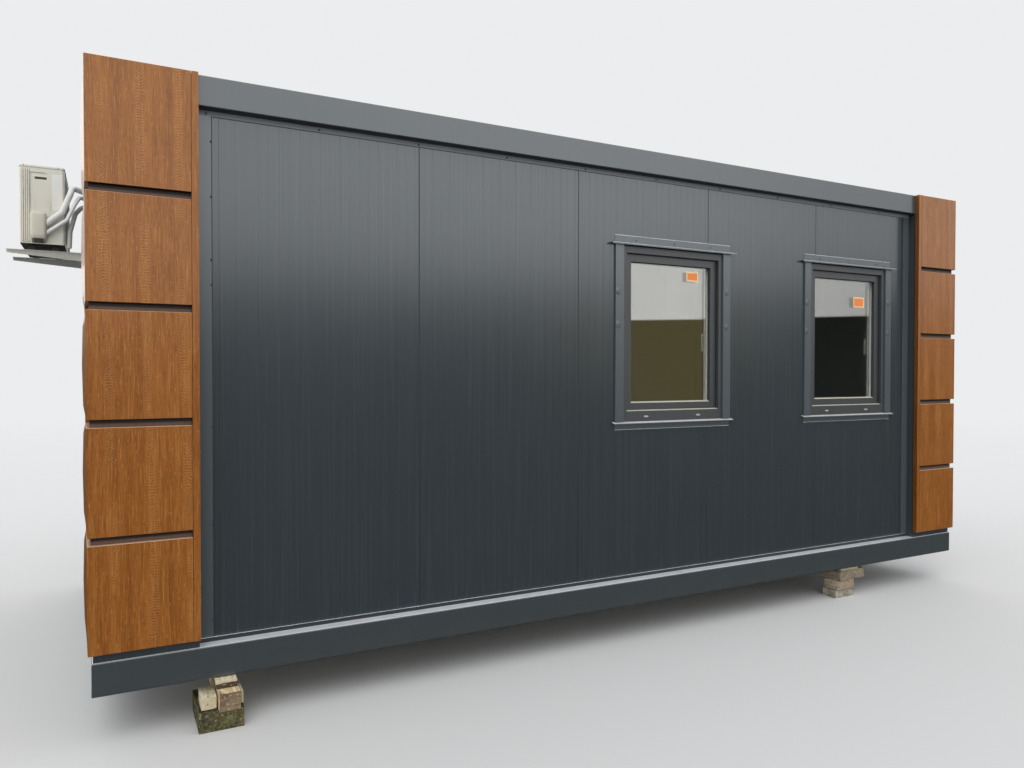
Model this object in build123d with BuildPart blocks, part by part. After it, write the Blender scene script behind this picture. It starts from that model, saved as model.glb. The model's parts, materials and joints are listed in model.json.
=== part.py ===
"""Site cabin: a steel frame with sandwich panel walls, wood-look corner columns, two windows, a door
and a wall-hung cooling unit, standing on blocks and timbers. Millimetres, Z up.

Each of the four sides has its own frame of reference: u runs along the side from its left end as
seen from outside, v runs inwards from the base frame's face, and w runs up from its underside."""

from build123d import *
import math
import os

# Overall
length = 6000
width = 3000
height = 2775
stand_height = 225

# Base frame
base_height = 150
base_steel = 4
base_ledge = 160
base_foot = 100
base_bend = 7
joist_count = 5
joist_flange = 50
joist_steel = 3
deck_thickness = 22
deck_clearance = 2

# Roof frame
roof_beam_height = 142
roof_beam_setback = 8
roof_beam_steel = 4
roof_beam_rim = 60
roof_beam_seat = 162
roof_beam_bend = 6
roof_panel_thickness = 60
roof_panel_cover = 1000
roof_rib_height = 35
roof_rib_foot = 62
roof_rib_crown = 24
roof_ribs_each = 3
roof_gutter = 64

# Wall panels
wall_setback = 68
wall_thickness = 60
panel_cover = 1000
first_seam = 539
panel_joint = 1
joint_reveal = 5
joint_reveal_depth = 8
tongue_depth = 12
tongue_thickness = 18
tongue_clearance = 0.5

# Corner posts, their steel casings and the wood-look cladding
casing_width = 440
casing_steel = 3
post_steel = 4
backing_thickness = 7
cladding_width = 455
cladding_front_proud = 23
cladding_end_proud = 12
cladding_bottom = 190
cassette_height = 476
cassette_groove = 34
cassette_steel = 2.5
cassettes = 5
margin_width = 30
margin_joint = 2
fold_radius = 4
tray_edge = 1.5
end_leaf_rest = 12
end_leaf_bow = 24

# Flashings
flashing_steel = 3
corner_flashing_reach = 506
top_flashing_height = 24
base_flashing_height = 20

# Windows
window_distances = (2739, 1117)
window_low = 1115
window_wide = 800
window_high = 1073
window_gap = 8
window_cover = 6
window_frame_depth = 70
window_frame_side = 36
window_frame_top = 41
window_frame_foot = 70
window_lip = 24
window_rebate = 18
sash_clearance = 2
sash_depth = 68
sash_face = 49
sash_glass_setback = 22
glass_thickness = 24
glass_edge = 15
glass_clearance = 0.3
handle_length = 120
handle_width = 22
handle_depth = 40

# Trims round the windows and the door
trim_width = 61
trim_proud = 12
trim_steel = 2
trim_lap = 10
drip_leg = 52
drip_proud = 30
drip_overhang = 36
drip_lip = 8
sill_leg = 49
sill_proud = 28
sill_drop = 9
sill_overhang = 20
sill_lip = 6

# Door, in the back wall in the place of one panel
panel_count_before_door = 2
door_high = 2110
door_frame_face = 55
door_leaf_thickness = 44
door_leaf_setback = 14
door_gap = 4
door_panel_inset = 120
door_panel_sink = 4
door_handle_height = 1050
hinge_heights = (300, 1050, 1850)
hinge_radius = 9
hinge_length = 110
hinge_leaf_reach = 26

# Cooling unit on the left end
unit_wide = 720
unit_deep = 245
unit_high = 480
unit_start = 350
unit_off_wall = 231
unit_drop = 405
unit_corner = 14
unit_lid = 14
unit_lid_lap = 3
fan_opening = 196
fan_offset = 74
fan_well = 120
fan_radius = 180
fan_hub = 45
fan_blades = 3
grille_wire = 3.2
grille_rings = 7
grille_spokes = 12
valve_cover_wide = 90
valve_cover_high = 196
valve_cover_deep = 55
valve_cover_setback = 103
valve_port = (60, 34, 30)
side_recess_high = 236
side_recess_sink = 5
side_rib_count = 4
side_rib_radius = 4
side_rib_pitch = 11
unit_foot_high = 30
unit_foot_wide = 40

# Brackets, pipes and drain of the cooling unit
arm_reach = 490
arm_spacing = 410
arm_first = 120
arm_steel = 4
arm_flange = 40
arm_tip = 20
arm_root = 62
leg_height = 290
leg_depth = 32
rail_height = 40
rail_depth = 5
pipe_radii = (18, 12, 14)
pipe_bend = 32
wall_cap_radius = 50
wall_cap_depth = 14

# Stacks under the frame
stack_left = 526
stack_right = 4842
block_high = 100
block_wide = 202
block_deep = 300
block_setback = -62
timber_wide = 94
timber_high = 85
timber_long = 420
timber_setback = -105
upper_wide = 97
upper_long = 360
packer_high = 20
packer_long = 300
upper_setback = -45
right_setback = 40
pad_high = 60
pad_wide = 196
pad_deep = 120
cross_high = 70
cross_wide = 120
cross_long = 240
offcut = 72
offcut_high = 63
edge_board = 16
edge_board_long = 120

# Places that follow from the sizes
end_reach = cladding_end_proud + end_leaf_bow
left_end = -(length + end_reach - arm_reach) / 2
right_end = left_end + length
front_face = -width / 2
back_face = width / 2
ground_level = stand_height
roof_seat = height - roof_beam_height
wall_high = roof_seat - base_height
wall_inner = wall_setback + wall_thickness
post_setback = roof_beam_setback + casing_steel
post_size = wall_inner - post_setback
unit_back = -(unit_off_wall - wall_setback)
unit_face = unit_back - unit_deep
unit_end = unit_start + unit_wide
unit_low = roof_seat - unit_drop
unit_top = unit_low + unit_high
arm_top = unit_low - unit_foot_high

sides = {
    "front": Plane((left_end, front_face, ground_level), x_dir=(1, 0, 0), z_dir=(0, 0, 1)),
    "right": Plane((right_end, front_face, ground_level), x_dir=(0, 1, 0), z_dir=(0, 0, 1)),
    "back": Plane((right_end, back_face, ground_level), x_dir=(-1, 0, 0), z_dir=(0, 0, 1)),
    "left": Plane((left_end, back_face, ground_level), x_dir=(0, -1, 0), z_dir=(0, 0, 1)),
}
runs = {"front": length, "right": width, "back": length, "left": width}
window_centres = [length - distance for distance in window_distances]
mid_length = Plane.YZ.offset((left_end + right_end) / 2)
mid_width = Plane.XZ

os.makedirs("parts", exist_ok=True)


def level(side, w):
    """Plan plane of a side at height w: draws u and v, extrudes up."""
    return sides[side].offset(w)


def section(side, u=0):
    """Cross-section plane of a side at u: draws v and w, extrudes along the side."""
    frame = sides[side]
    return Plane(frame.from_local_coords((u, 0, 0)), x_dir=frame.y_dir, z_dir=frame.x_dir)


def elevation(side, v):
    """Elevation plane of a side at depth v: draws u and w, extrudes outwards."""
    frame = sides[side]
    return Plane(frame.from_local_coords((0, v, 0)), x_dir=frame.x_dir, z_dir=-frame.y_dir)


def save(piece, label):
    piece.part.label = label
    export_step(piece.part, f"parts/{label}.step")


def box(low, high):
    """A rectangle of the open sketch from its low to its high corner."""
    with Locations(((low[0] + high[0]) / 2, (low[1] + high[1]) / 2)):
        Rectangle(high[0] - low[0], high[1] - low[1])


def cut_box(low, high):
    with Locations(((low[0] + high[0]) / 2, (low[1] + high[1]) / 2)):
        Rectangle(high[0] - low[0], high[1] - low[1], mode=Mode.SUBTRACT)


def mitre(side):
    """Cut both ends of the open part's beam at 45 degrees."""
    frame = sides[side]
    far = frame.from_local_coords((runs[side], 0, 0))
    split(bisect_by=Plane(frame.origin, z_dir=frame.x_dir - frame.y_dir), keep=Keep.TOP)
    split(bisect_by=Plane(far, z_dir=-frame.x_dir - frame.y_dir), keep=Keep.TOP)


# Base frame: four folded channels, mitred at the corners
for side in sides:
    with BuildPart() as base_beam:
        with BuildSketch(section(side)) as profile:
            box((0, 0), (base_ledge, base_height))
            cut_box((base_steel, base_steel), (base_ledge, base_height - base_steel))
            cut_box((base_foot, 0), (base_ledge, base_steel))
            fillet(profile.vertices().group_by(Axis.X)[0], base_bend)
        extrude(amount=runs[side])
        mitre(side)
    save(base_beam, f"base_beam_{side}")

joist_height = base_height - 2 * base_steel
with BuildPart() as floor_joists:
    with BuildSketch(section("right", base_steel)):
        for number in range(joist_count):
            near = (number + 1) * length / (joist_count + 1) - joist_flange / 2
            box((near, base_steel), (near + joist_flange, base_steel + joist_height))
            cut_box(
                (near + joist_steel, base_steel + joist_steel),
                (near + joist_flange, base_steel + joist_height - joist_steel),
            )
    extrude(amount=width - 2 * base_steel)
save(floor_joists, "floor_joists")

with BuildPart() as floor_deck:
    with BuildSketch(level("front", base_height)):
        inset = wall_inner + deck_clearance
        box((inset, inset), (length - inset, width - inset))
    extrude(amount=deck_thickness)
save(floor_deck, "floor_deck")

# Roof frame: four folded channels, mitred, with a wide seat for the roof panels
for side in sides:
    with BuildPart() as roof_beam:
        with BuildSketch(section(side)) as profile:
            outer = roof_beam_setback
            inner = outer + roof_beam_steel
            seat_end = outer + roof_beam_seat
            box((outer, roof_seat), (seat_end, height))
            cut_box((inner, roof_seat + roof_beam_steel), (seat_end, height - roof_beam_steel))
            cut_box((outer + roof_beam_rim, height - roof_beam_steel), (seat_end, height))
            fillet(profile.vertices().group_by(Axis.X)[0], roof_beam_bend)
        extrude(amount=runs[side])
        mitre(side)
    save(roof_beam, f"roof_beam_{side}")

roof_start = roof_beam_setback + roof_gutter
roof_run = length - 2 * roof_start
roof_count = round(roof_run / roof_panel_cover)
roof_pitch = roof_run / roof_count
roof_bottom = roof_seat + roof_beam_steel
roof_top = roof_bottom + roof_panel_thickness
with BuildPart() as roof_panels:
    with BuildSketch(section("right", roof_start)):
        for number in range(roof_count):
            near = roof_start + number * roof_pitch
            box((near, roof_bottom), (near + roof_pitch - panel_joint, roof_top))
            for rib in range(roof_ribs_each):
                middle = near + (rib + 0.5) * roof_pitch / roof_ribs_each
                Polygon(
                    (middle - roof_rib_foot / 2, roof_top),
                    (middle + roof_rib_foot / 2, roof_top),
                    (middle + roof_rib_crown / 2, roof_top + roof_rib_height),
                    (middle - roof_rib_crown / 2, roof_top + roof_rib_height),
                )
    extrude(amount=width - 2 * roof_start)
save(roof_panels, "roof_panels")

# Corner posts: square tubes between the base frame and the roof frame
with BuildPart() as corner_posts:
    with BuildSketch(level("front", base_height)):
        for u in (post_setback, length - post_setback - post_size):
            for v in (post_setback, width - post_setback - post_size):
                box((u, v), (u + post_size, v + post_size))
                cut_box(
                    (u + post_steel, v + post_steel),
                    (u + post_size - post_steel, v + post_size - post_steel),
                )
    extrude(amount=wall_high)
save(corner_posts, "corner_posts")


def seams(run):
    """Panel edges of a long side, from post to post."""
    count = int((run - wall_inner - first_seam) // panel_cover) + 1
    return [wall_inner, *(first_seam + n * panel_cover for n in range(count)), run - wall_inner]


def panel_plan(edges, number):
    """Plan of one panel, with a tongue on its right edge and a groove in its left edge.

    Joints show as a reveal in the face, except the tight one beside the first corner.
    """
    near, far = edges[number], edges[number + 1]
    mid = wall_setback + wall_thickness / 2
    slot = tongue_thickness / 2 + tongue_clearance
    last = number == len(edges) - 2
    tight = first_seam
    stop = far if last else far - panel_joint
    face = wall_setback + joint_reveal_depth
    box((near, wall_setback), (stop, wall_inner))
    if number > 0:
        cut_box((near, mid - slot), (near + tongue_depth, mid + slot))
        if near > tight:
            cut_box((near, wall_setback), (near + joint_reveal / 2, face))
    if not last:
        tip = stop + tongue_depth - tongue_clearance
        if far > tight:
            cut_box((stop - joint_reveal / 2, wall_setback), (stop, face))
        box((stop, mid - tongue_thickness / 2), (tip, mid + tongue_thickness / 2))


front_edges = seams(length)
window_left = min(window_centres) - window_wide / 2
first_cut = max(n for n, edge in enumerate(front_edges) if edge < window_left)
last_cut = len(front_edges) - 2

with BuildPart() as front_wall:
    with BuildSketch(level("front", base_height)):
        for number in range(first_cut):
            panel_plan(front_edges, number)
    extrude(amount=wall_high)
save(front_wall, "front_wall")

with BuildPart() as window_wall:
    with BuildSketch(level("front", base_height)):
        for number in range(first_cut, last_cut + 1):
            panel_plan(front_edges, number)
    extrude(amount=wall_high)
    with BuildSketch(elevation("front", wall_setback)):
        hole_half = window_wide / 2 + window_cover + window_gap
        hole_low = window_low - window_cover - window_gap
        hole_high = window_low + window_high + window_cover + window_gap
        for centre in window_centres:
            box((centre - hole_half, hole_low), (centre + hole_half, hole_high))
    extrude(amount=-wall_thickness, mode=Mode.SUBTRACT)
save(window_wall, "window_wall")

door_left = front_edges[panel_count_before_door]
door_right = front_edges[panel_count_before_door + 1]
door_centre = (door_left + door_right) / 2
with BuildPart() as back_wall:
    with BuildSketch(level("back", base_height)):
        for number in range(len(front_edges) - 1):
            if number != panel_count_before_door:
                panel_plan(front_edges, number)
    extrude(amount=wall_high)
    over_door = base_height + door_high
    with BuildSketch(level("back", over_door)):
        panel_plan(front_edges, panel_count_before_door)
    extrude(amount=roof_seat - over_door)
    with BuildSketch(level("back", base_height)):
        box((door_left - panel_joint, wall_setback), (door_left + tongue_depth, wall_inner))
    extrude(amount=door_high, mode=Mode.SUBTRACT)
save(back_wall, "back_wall")

end_edges = [wall_inner, wall_inner + panel_cover, wall_inner + 2 * panel_cover, width - wall_inner]
for side in ("left", "right"):
    with BuildPart() as end_wall:
        with BuildSketch(level(side, base_height)):
            for number in range(len(end_edges) - 1):
                panel_plan(end_edges, number)
        extrude(amount=wall_high)
    save(end_wall, f"{side}_wall")

# Steel casings of the corner posts: folded angles with returns to the walls
casing_end = roof_beam_setback + casing_steel
with BuildPart() as casing:
    with BuildSketch(level("front", base_height)):
        start = roof_beam_setback
        box((start, start), (casing_width, casing_end))
        box((start, start), (casing_end, casing_width))
        box((casing_width - casing_steel, start), (casing_width, wall_setback))
        box((start, casing_width - casing_steel), (wall_setback, casing_width))
    extrude(amount=wall_high)


def four_corners(piece):
    """The front left piece and its mirror images at the other three corners."""
    with BuildPart() as pieces:
        add(piece.part)
        mirror(about=mid_length)
        mirror(about=mid_width)
    return pieces


save(four_corners(casing), "column_casings")

# Cladding: backing boards, and trays in a column with an open groove between them
backing_face = roof_beam_setback - backing_thickness
with BuildPart() as backing:
    with BuildSketch(level("front", cladding_bottom)):
        board_end = cladding_width - cladding_end_proud - margin_width - margin_joint
        box((backing_face, backing_face), (board_end, roof_beam_setback))
        box((backing_face, backing_face), (roof_beam_setback, board_end))
    extrude(amount=height - cladding_bottom)
save(four_corners(backing), "cladding_backings")

front_leaf = -cladding_front_proud
end_leaf = -cladding_end_proud
margin_start = cladding_width - cladding_end_proud - margin_width
leaf_stop = margin_start - margin_joint


def tray_plan(skin, flare):
    """Plan of a tray inside its skin; the flare sets the end leaf's rear edge out from the column."""
    slope = flare / (leaf_stop - front_leaf)
    fold = fold_radius - skin if skin < fold_radius else 0
    corner = end_leaf + skin - slope * (skin + fold)
    Polygon(
        (corner, front_leaf + skin + fold),
        (corner + fold, front_leaf + skin),
        (leaf_stop - skin, front_leaf + skin),
        (leaf_stop - skin, backing_face),
        (backing_face, backing_face),
        (backing_face, leaf_stop - skin),
        (end_leaf - flare + skin, leaf_stop - skin),
    )


def leaf_flare(rise):
    """How far the rear edge stands out at a height from 0 to 1: a swell near the ends, then almost flat."""
    return end_leaf_rest + (end_leaf_bow - end_leaf_rest) * (1 - abs(2 * rise - 1) ** 5)


def tray_shell(skin, low, high, rises, edge, mode):
    """The outside of a tray, or its hollow, through plans at several heights between low and high."""
    heights = [(low, edge), (high, edge)] if edge else []
    low, high = low + edge, high - edge
    heights += [(low + rise * (high - low), 0) for rise in rises]
    plans = []
    for height_here, inset in sorted(heights):
        rise = (height_here - low) / (high - low)
        with BuildSketch(level("front", height_here)) as plan:
            tray_plan(skin + inset, leaf_flare(min(max(rise, 0), 1)))
        plans.append(plan.sketch)
    loft(plans, ruled=True, mode=mode)


def tray(low, high):
    """One hollow tray, open towards its backing board, with softened edges and a bowed end leaf."""
    skin = cassette_steel
    tray_shell(0, low, high, (0, 0.1, 0.5, 0.9, 1), tray_edge, Mode.ADD)
    tray_shell(skin, low + skin, high - skin, (0, 0.5, 1), 0, Mode.SUBTRACT)


with BuildPart() as cladding:
    step = cassette_height + cassette_groove
    for number in range(cassettes):
        low = cladding_bottom + number * step
        tray(low, height if number == cassettes - 1 else low + cassette_height)
    with BuildSketch(level("front", cladding_bottom)):
        box((margin_start, front_leaf), (margin_start + margin_width, roof_beam_setback))
        box((end_leaf - end_leaf_rest, margin_start), (roof_beam_setback, margin_start + margin_width))
    extrude(amount=height - cladding_bottom)
with BuildPart() as cladding_front:
    add(cladding.part)
    mirror(about=mid_length)
save(cladding_front, "cladding_front")

with BuildPart() as cladding_back:
    add(mirror(cladding_front.part, about=mid_width))
save(cladding_back, "cladding_back")

# Flashings on the walls: upright strips at the corners, and strips at the head and the foot
flashing_face = wall_setback - flashing_steel
strip_low = base_height + base_flashing_height
strip_high = roof_seat - top_flashing_height
with BuildPart() as corner_flashings:
    for side in sides:
        with BuildSketch(elevation(side, wall_setback)):
            box((casing_width, strip_low), (corner_flashing_reach, strip_high))
            box((runs[side] - corner_flashing_reach, strip_low), (runs[side] - casing_width, strip_high))
        extrude(amount=flashing_steel)
save(corner_flashings, "corner_flashings")

with BuildPart() as top_flashings:
    for side in sides:
        with BuildSketch(elevation(side, wall_setback)):
            box((casing_width, strip_high), (runs[side] - casing_width, roof_seat))
        extrude(amount=flashing_steel)
save(top_flashings, "top_flashings")

door_half = (door_right - door_left) / 2
door_trim_half = door_half - trim_lap + trim_width
with BuildPart() as base_flashings:
    for side in sides:
        with BuildSketch(elevation(side, wall_setback)):
            box((casing_width, base_height), (runs[side] - casing_width, strip_low))
            if side == "back":
                cut_box(
                    (door_centre - door_trim_half, base_height),
                    (door_centre + door_trim_half, strip_low),
                )
        extrude(amount=flashing_steel)
save(base_flashings, "base_flashings")

# Windows
frame_half = window_wide / 2 + window_cover
frame_low = window_low - window_cover
frame_high = window_low + window_high + window_cover
light_half = frame_half - window_frame_side
light_low = frame_low + window_frame_foot
light_high = frame_high - window_frame_top
with BuildPart() as window_frames:
    with BuildSketch(elevation("front", wall_setback)):
        for centre in window_centres:
            box((centre - frame_half, frame_low), (centre + frame_half, frame_high))
            cut_box((centre - light_half, light_low), (centre + light_half, light_high))
    extrude(amount=-window_frame_depth)
    with BuildSketch(elevation("front", wall_setback + window_lip)):
        for centre in window_centres:
            box(
                (centre - light_half - window_rebate, light_low - window_rebate),
                (centre + light_half + window_rebate, light_high + window_rebate),
            )
    extrude(amount=window_lip - window_frame_depth, mode=Mode.SUBTRACT)
save(window_frames, "window_frames")

sash_front = wall_setback + window_lip
sash_back = sash_front + sash_depth
sash_out = window_rebate - sash_clearance
glass_front = sash_front + sash_glass_setback
glass_back = glass_front + glass_thickness
with BuildPart() as window_sashes:
    with BuildSketch(elevation("front", sash_front)):
        for centre in window_centres:
            box(
                (centre - light_half - sash_out, light_low - sash_out),
                (centre + light_half + sash_out, light_high + sash_out),
            )
            cut_box(
                (centre - light_half + sash_face, light_low + sash_face),
                (centre + light_half - sash_face, light_high - sash_face),
            )
    extrude(amount=-sash_depth)
    with BuildSketch(elevation("front", glass_front)):
        for centre in window_centres:
            box(
                (centre - light_half + sash_face - glass_edge, light_low + sash_face - glass_edge),
                (centre + light_half - sash_face + glass_edge, light_high - sash_face + glass_edge),
            )
    extrude(amount=-glass_thickness, mode=Mode.SUBTRACT)
save(window_sashes, "window_sashes")

pane = sash_face - glass_edge + glass_clearance
with BuildPart() as window_glass:
    with BuildSketch(elevation("front", glass_front)):
        for centre in window_centres:
            box(
                (centre - light_half + pane, light_low + pane),
                (centre + light_half - pane, light_high - pane),
            )
    extrude(amount=-glass_thickness)
save(window_glass, "window_glass")

handle_centre = light_half - sash_face / 2
handle_top = (light_low + light_high) / 2
with BuildPart() as window_handles:
    for centre in window_centres:
        spot = centre + handle_centre
        with BuildSketch(elevation("front", sash_back)):
            box((spot - handle_width / 2, handle_top - 40), (spot + handle_width / 2, handle_top + 40))
        extrude(amount=-6)
        with BuildSketch(elevation("front", sash_back)):
            with Locations((spot, handle_top)):
                Circle(handle_width / 2 - 2)
        extrude(amount=-handle_depth)
        with BuildSketch(elevation("front", sash_back + handle_depth - 14)):
            with Locations((spot, handle_top - handle_length / 2 + handle_width / 2)):
                SlotOverall(handle_length, handle_width - 4, rotation=90)
        extrude(amount=-14)
save(window_handles, "window_handles")

# Folded trims round the windows: U-shaped at the sides, a drip over the head, a sill at the foot
trim_face = wall_setback - trim_proud
drip_low = frame_high + trim_lap


def side_trims(side, centre, half, low, high):
    """A pair of upright trims, open towards the wall."""
    for sign in (-1, 1):
        near, far = sorted((centre + sign * half, centre + sign * (half + trim_width)))
        with BuildSketch(level(side, low)) as plan:
            box((near, trim_face), (far, wall_setback))
            cut_box((near + trim_steel, trim_face + trim_steel), (far - trim_steel, wall_setback))
        extrude(plan.sketch, amount=high - low)


def head_drip(side, centre, half, low):
    """An upright leg on the wall with a lip that stands out over the head."""
    with BuildSketch(section(side, centre - half)) as leg:
        box((wall_setback - trim_steel, low), (wall_setback, low + drip_leg))
    extrude(leg.sketch, amount=2 * half)
    with BuildSketch(section(side, centre - half - drip_overhang)) as lip:
        box((wall_setback - drip_proud, low), (wall_setback, low + trim_steel))
        box((wall_setback - drip_proud, low - drip_lip), (wall_setback - drip_proud + trim_steel, low))
    extrude(lip.sketch, amount=2 * (half + drip_overhang))


with BuildPart() as window_side_trims:
    for centre in window_centres:
        side_trims("front", centre, window_wide / 2, window_low, drip_low)
save(window_side_trims, "window_side_trims")

trim_half = window_wide / 2 + trim_width
sill_nose = wall_setback - sill_proud
with BuildPart() as window_flashings:
    for centre in window_centres:
        head_drip("front", centre, trim_half, drip_low)
        with BuildSketch(section("front", centre - trim_half)):
            box((wall_setback - trim_steel, window_low - sill_leg), (wall_setback, window_low))
        extrude(amount=2 * trim_half)
        with BuildSketch(section("front", centre - trim_half - sill_overhang)):
            Polygon(
                (wall_setback, window_low),
                (sill_nose, window_low - sill_drop),
                (sill_nose, window_low - sill_drop - sill_lip),
                (sill_nose + trim_steel, window_low - sill_drop - sill_lip),
                (sill_nose + trim_steel, window_low - sill_drop - trim_steel),
                (wall_setback, window_low - trim_steel),
            )
        extrude(amount=2 * (trim_half + sill_overhang))
save(window_flashings, "window_flashings")

# Door
door_frame_half = door_half - panel_joint
leaf_half = door_frame_half - door_frame_face - door_gap
leaf_low = base_height + deck_thickness + door_gap
door_top = base_height + door_high - panel_joint
leaf_high = door_top - door_frame_face - door_gap
with BuildPart() as door_frame:
    with BuildSketch(elevation("back", wall_setback)):
        box((door_centre - door_frame_half, base_height), (door_centre + door_frame_half, door_top))
        cut_box(
            (door_centre - leaf_half - door_gap, leaf_low - door_gap),
            (door_centre + leaf_half + door_gap, leaf_high + door_gap),
        )
    extrude(amount=-wall_thickness)
save(door_frame, "door_frame")

leaf_face = wall_setback + door_leaf_setback
with BuildPart() as door_leaf:
    with BuildSketch(elevation("back", leaf_face)):
        box((door_centre - leaf_half, leaf_low), (door_centre + leaf_half, leaf_high))
    extrude(amount=-door_leaf_thickness)
    middle = (leaf_low + leaf_high) / 2
    with BuildSketch(elevation("back", leaf_face)):
        for low, high in (
            (leaf_low + door_panel_inset, middle - door_panel_inset / 2),
            (middle + door_panel_inset / 2, leaf_high - door_panel_inset),
        ):
            box(
                (door_centre - leaf_half + door_panel_inset, low),
                (door_centre + leaf_half - door_panel_inset, high),
            )
    extrude(amount=-door_panel_sink, mode=Mode.SUBTRACT)
save(door_leaf, "door_leaf")

lock_spot = door_centre + leaf_half - 45
with BuildPart() as door_fittings:
    for face, out in ((leaf_face, 1), (leaf_face + door_leaf_thickness, -1)):
        with BuildSketch(elevation("back", face)):
            with Locations((lock_spot, door_handle_height - 40)):
                SlotOverall(210, 38, rotation=90)
        extrude(amount=out * 8)
        with BuildSketch(elevation("back", face)):
            with Locations((lock_spot, door_handle_height)):
                Circle(9)
        extrude(amount=out * 50)
        with BuildSketch(elevation("back", face - out * 34)):
            with Locations((lock_spot - 50, door_handle_height)):
                SlotOverall(125, 20)
        extrude(amount=out * 16)
    for hinge_height in hinge_heights:
        with BuildSketch(level("back", base_height + hinge_height)):
            with Locations((door_centre - leaf_half - door_gap / 2, wall_setback - hinge_radius)):
                Circle(hinge_radius)
            hinge_plate = (door_centre - leaf_half - door_gap, wall_setback - hinge_radius)
            box(hinge_plate, (door_centre - leaf_half, leaf_face + hinge_leaf_reach))
        extrude(amount=hinge_length)
save(door_fittings, "door_fittings")

with BuildPart() as door_trims:
    side_trims("back", door_centre, door_half - trim_lap, base_height, door_top + trim_lap)
    head_drip("back", door_centre, door_trim_half, door_top + trim_lap)
save(door_trims, "door_trims")

# Cooling unit on the left end wall: u runs towards the front here
unit_centre = unit_end - unit_wide / 2
fan_spot = (unit_centre - fan_offset, (unit_low + unit_top) / 2)
valve_spot = unit_face + valve_cover_setback
with BuildPart() as unit_casing:
    with BuildSketch(level("left", unit_low)) as profile:
        box((unit_end - unit_wide, unit_face), (unit_end, unit_back))
        fillet(profile.vertices(), unit_corner)
    extrude(amount=unit_high)
    with BuildSketch(elevation("left", unit_face)):
        with Locations(fan_spot):
            Circle(fan_opening)
    extrude(amount=-fan_well, mode=Mode.SUBTRACT)
    with BuildSketch(section("left", unit_end)):
        with Locations((valve_spot, unit_top - 30 - side_recess_high / 2)):
            RectangleRounded(valve_cover_wide, side_recess_high, 8)
    extrude(amount=-side_recess_sink, mode=Mode.SUBTRACT)
    with BuildSketch(level("left", unit_low + 10)):
        for number in range(side_rib_count):
            with Locations((unit_end, unit_face + unit_corner + 3 + number * side_rib_pitch)):
                Circle(side_rib_radius)
    extrude(amount=unit_high - 30)
save(unit_casing, "unit_casing")

with BuildPart() as unit_lid_part:
    with BuildSketch(level("left", unit_top)) as profile:
        lap = unit_lid_lap
        box((unit_end - unit_wide - lap, unit_face - lap), (unit_end + lap, unit_back + lap))
        fillet(profile.vertices(), unit_corner + lap)
    extrude(amount=unit_lid)
    chamfer(unit_lid_part.edges().group_by(Axis.Z)[-1], 5)
save(unit_lid_part, "unit_lid")

with BuildPart() as unit_fan:
    with BuildSketch(elevation("left", unit_face + fan_well)):
        with Locations(fan_spot):
            Circle(fan_hub)
    extrude(amount=fan_well - 25)
    chamfer(unit_fan.edges().filter_by(GeomType.CIRCLE).sort_by(Axis.X)[0], 12)
    disc = elevation("left", unit_face + 45)
    for number in range(fan_blades):
        out = disc.x_dir.rotate(Axis((0, 0, 0), disc.z_dir), number * 360 / fan_blades)
        centre = disc.from_local_coords((*fan_spot, 0))
        root = Plane(centre, x_dir=disc.z_dir.cross(out), z_dir=out)
        with BuildSketch(root.offset(fan_hub - 8)):
            Rectangle(95, 4, rotation=-26)
        with BuildSketch(root.offset(fan_radius)):
            Rectangle(150, 4, rotation=-20)
        loft()
save(unit_fan, "unit_fan")

grille_outer = fan_opening + 8
with BuildPart() as unit_grille:
    with BuildSketch(elevation("left", unit_face)):
        with Locations(fan_spot):
            Circle(grille_outer)
            Circle(fan_opening - 4, mode=Mode.SUBTRACT)
            for number in range(1, grille_rings):
                ring = number * fan_opening / grille_rings
                Circle(ring + grille_wire / 2)
                Circle(ring - grille_wire / 2, mode=Mode.SUBTRACT)
            with PolarLocations(fan_opening / 2, grille_spokes):
                Rectangle(fan_opening, grille_wire)
            Circle(fan_hub * 0.7)
    extrude(amount=5)
save(unit_grille, "unit_grille")

with BuildPart() as unit_valve_cover:
    with BuildSketch(section("left", unit_end)):
        with Locations((valve_spot, unit_low + valve_cover_high / 2)):
            RectangleRounded(valve_cover_wide, valve_cover_high, 10)
    extrude(amount=valve_cover_deep)
    chamfer(unit_valve_cover.edges().group_by(Axis.Y)[0], 6)
    with BuildSketch(section("left", unit_end + valve_cover_deep)):
        with Locations((valve_spot, unit_low + 14 + valve_port[1] / 2)):
            RectangleRounded(valve_port[0], valve_port[1], 12)
    extrude(amount=-valve_port[2], mode=Mode.SUBTRACT)
save(unit_valve_cover, "unit_valve_cover")

# Brackets: tapered arms with a top flange, legs up the wall, and a rail across them
arm_spots = (unit_end - arm_first, unit_end - arm_first - arm_spacing)
with BuildPart() as unit_bracket:
    for spot in arm_spots:
        with BuildSketch(section("left", spot)):
            Polygon(
                (-arm_reach, arm_top),
                (-arm_reach, arm_top - arm_tip),
                (wall_setback, arm_top - arm_root),
                (wall_setback, arm_top),
            )
        extrude(amount=arm_steel)
        with BuildSketch(level("left", arm_top - arm_steel)):
            box((spot, -arm_reach), (spot + arm_flange, wall_setback))
        extrude(amount=arm_steel)
        with BuildSketch(level("left", arm_top - arm_root)):
            leg_face = wall_setback - leg_depth
            box((spot, leg_face), (spot + arm_flange, leg_face + arm_steel))
            box((spot, leg_face), (spot + arm_steel, wall_setback))
        extrude(amount=leg_height + arm_root)
        with BuildSketch(level("left", arm_top)):
            for low in (unit_face + 35, unit_back - 35 - unit_foot_wide):
                box((spot, low), (spot + unit_foot_wide, low + unit_foot_wide))
        extrude(amount=unit_foot_high)
    with BuildSketch(elevation("left", wall_setback - leg_depth)):
        box(
            (min(arm_spots) - 60, arm_top + leg_height - rail_height),
            (max(arm_spots) + arm_flange + 60, arm_top + leg_height),
        )
    extrude(amount=rail_depth)
save(unit_bracket, "unit_bracket")

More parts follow.
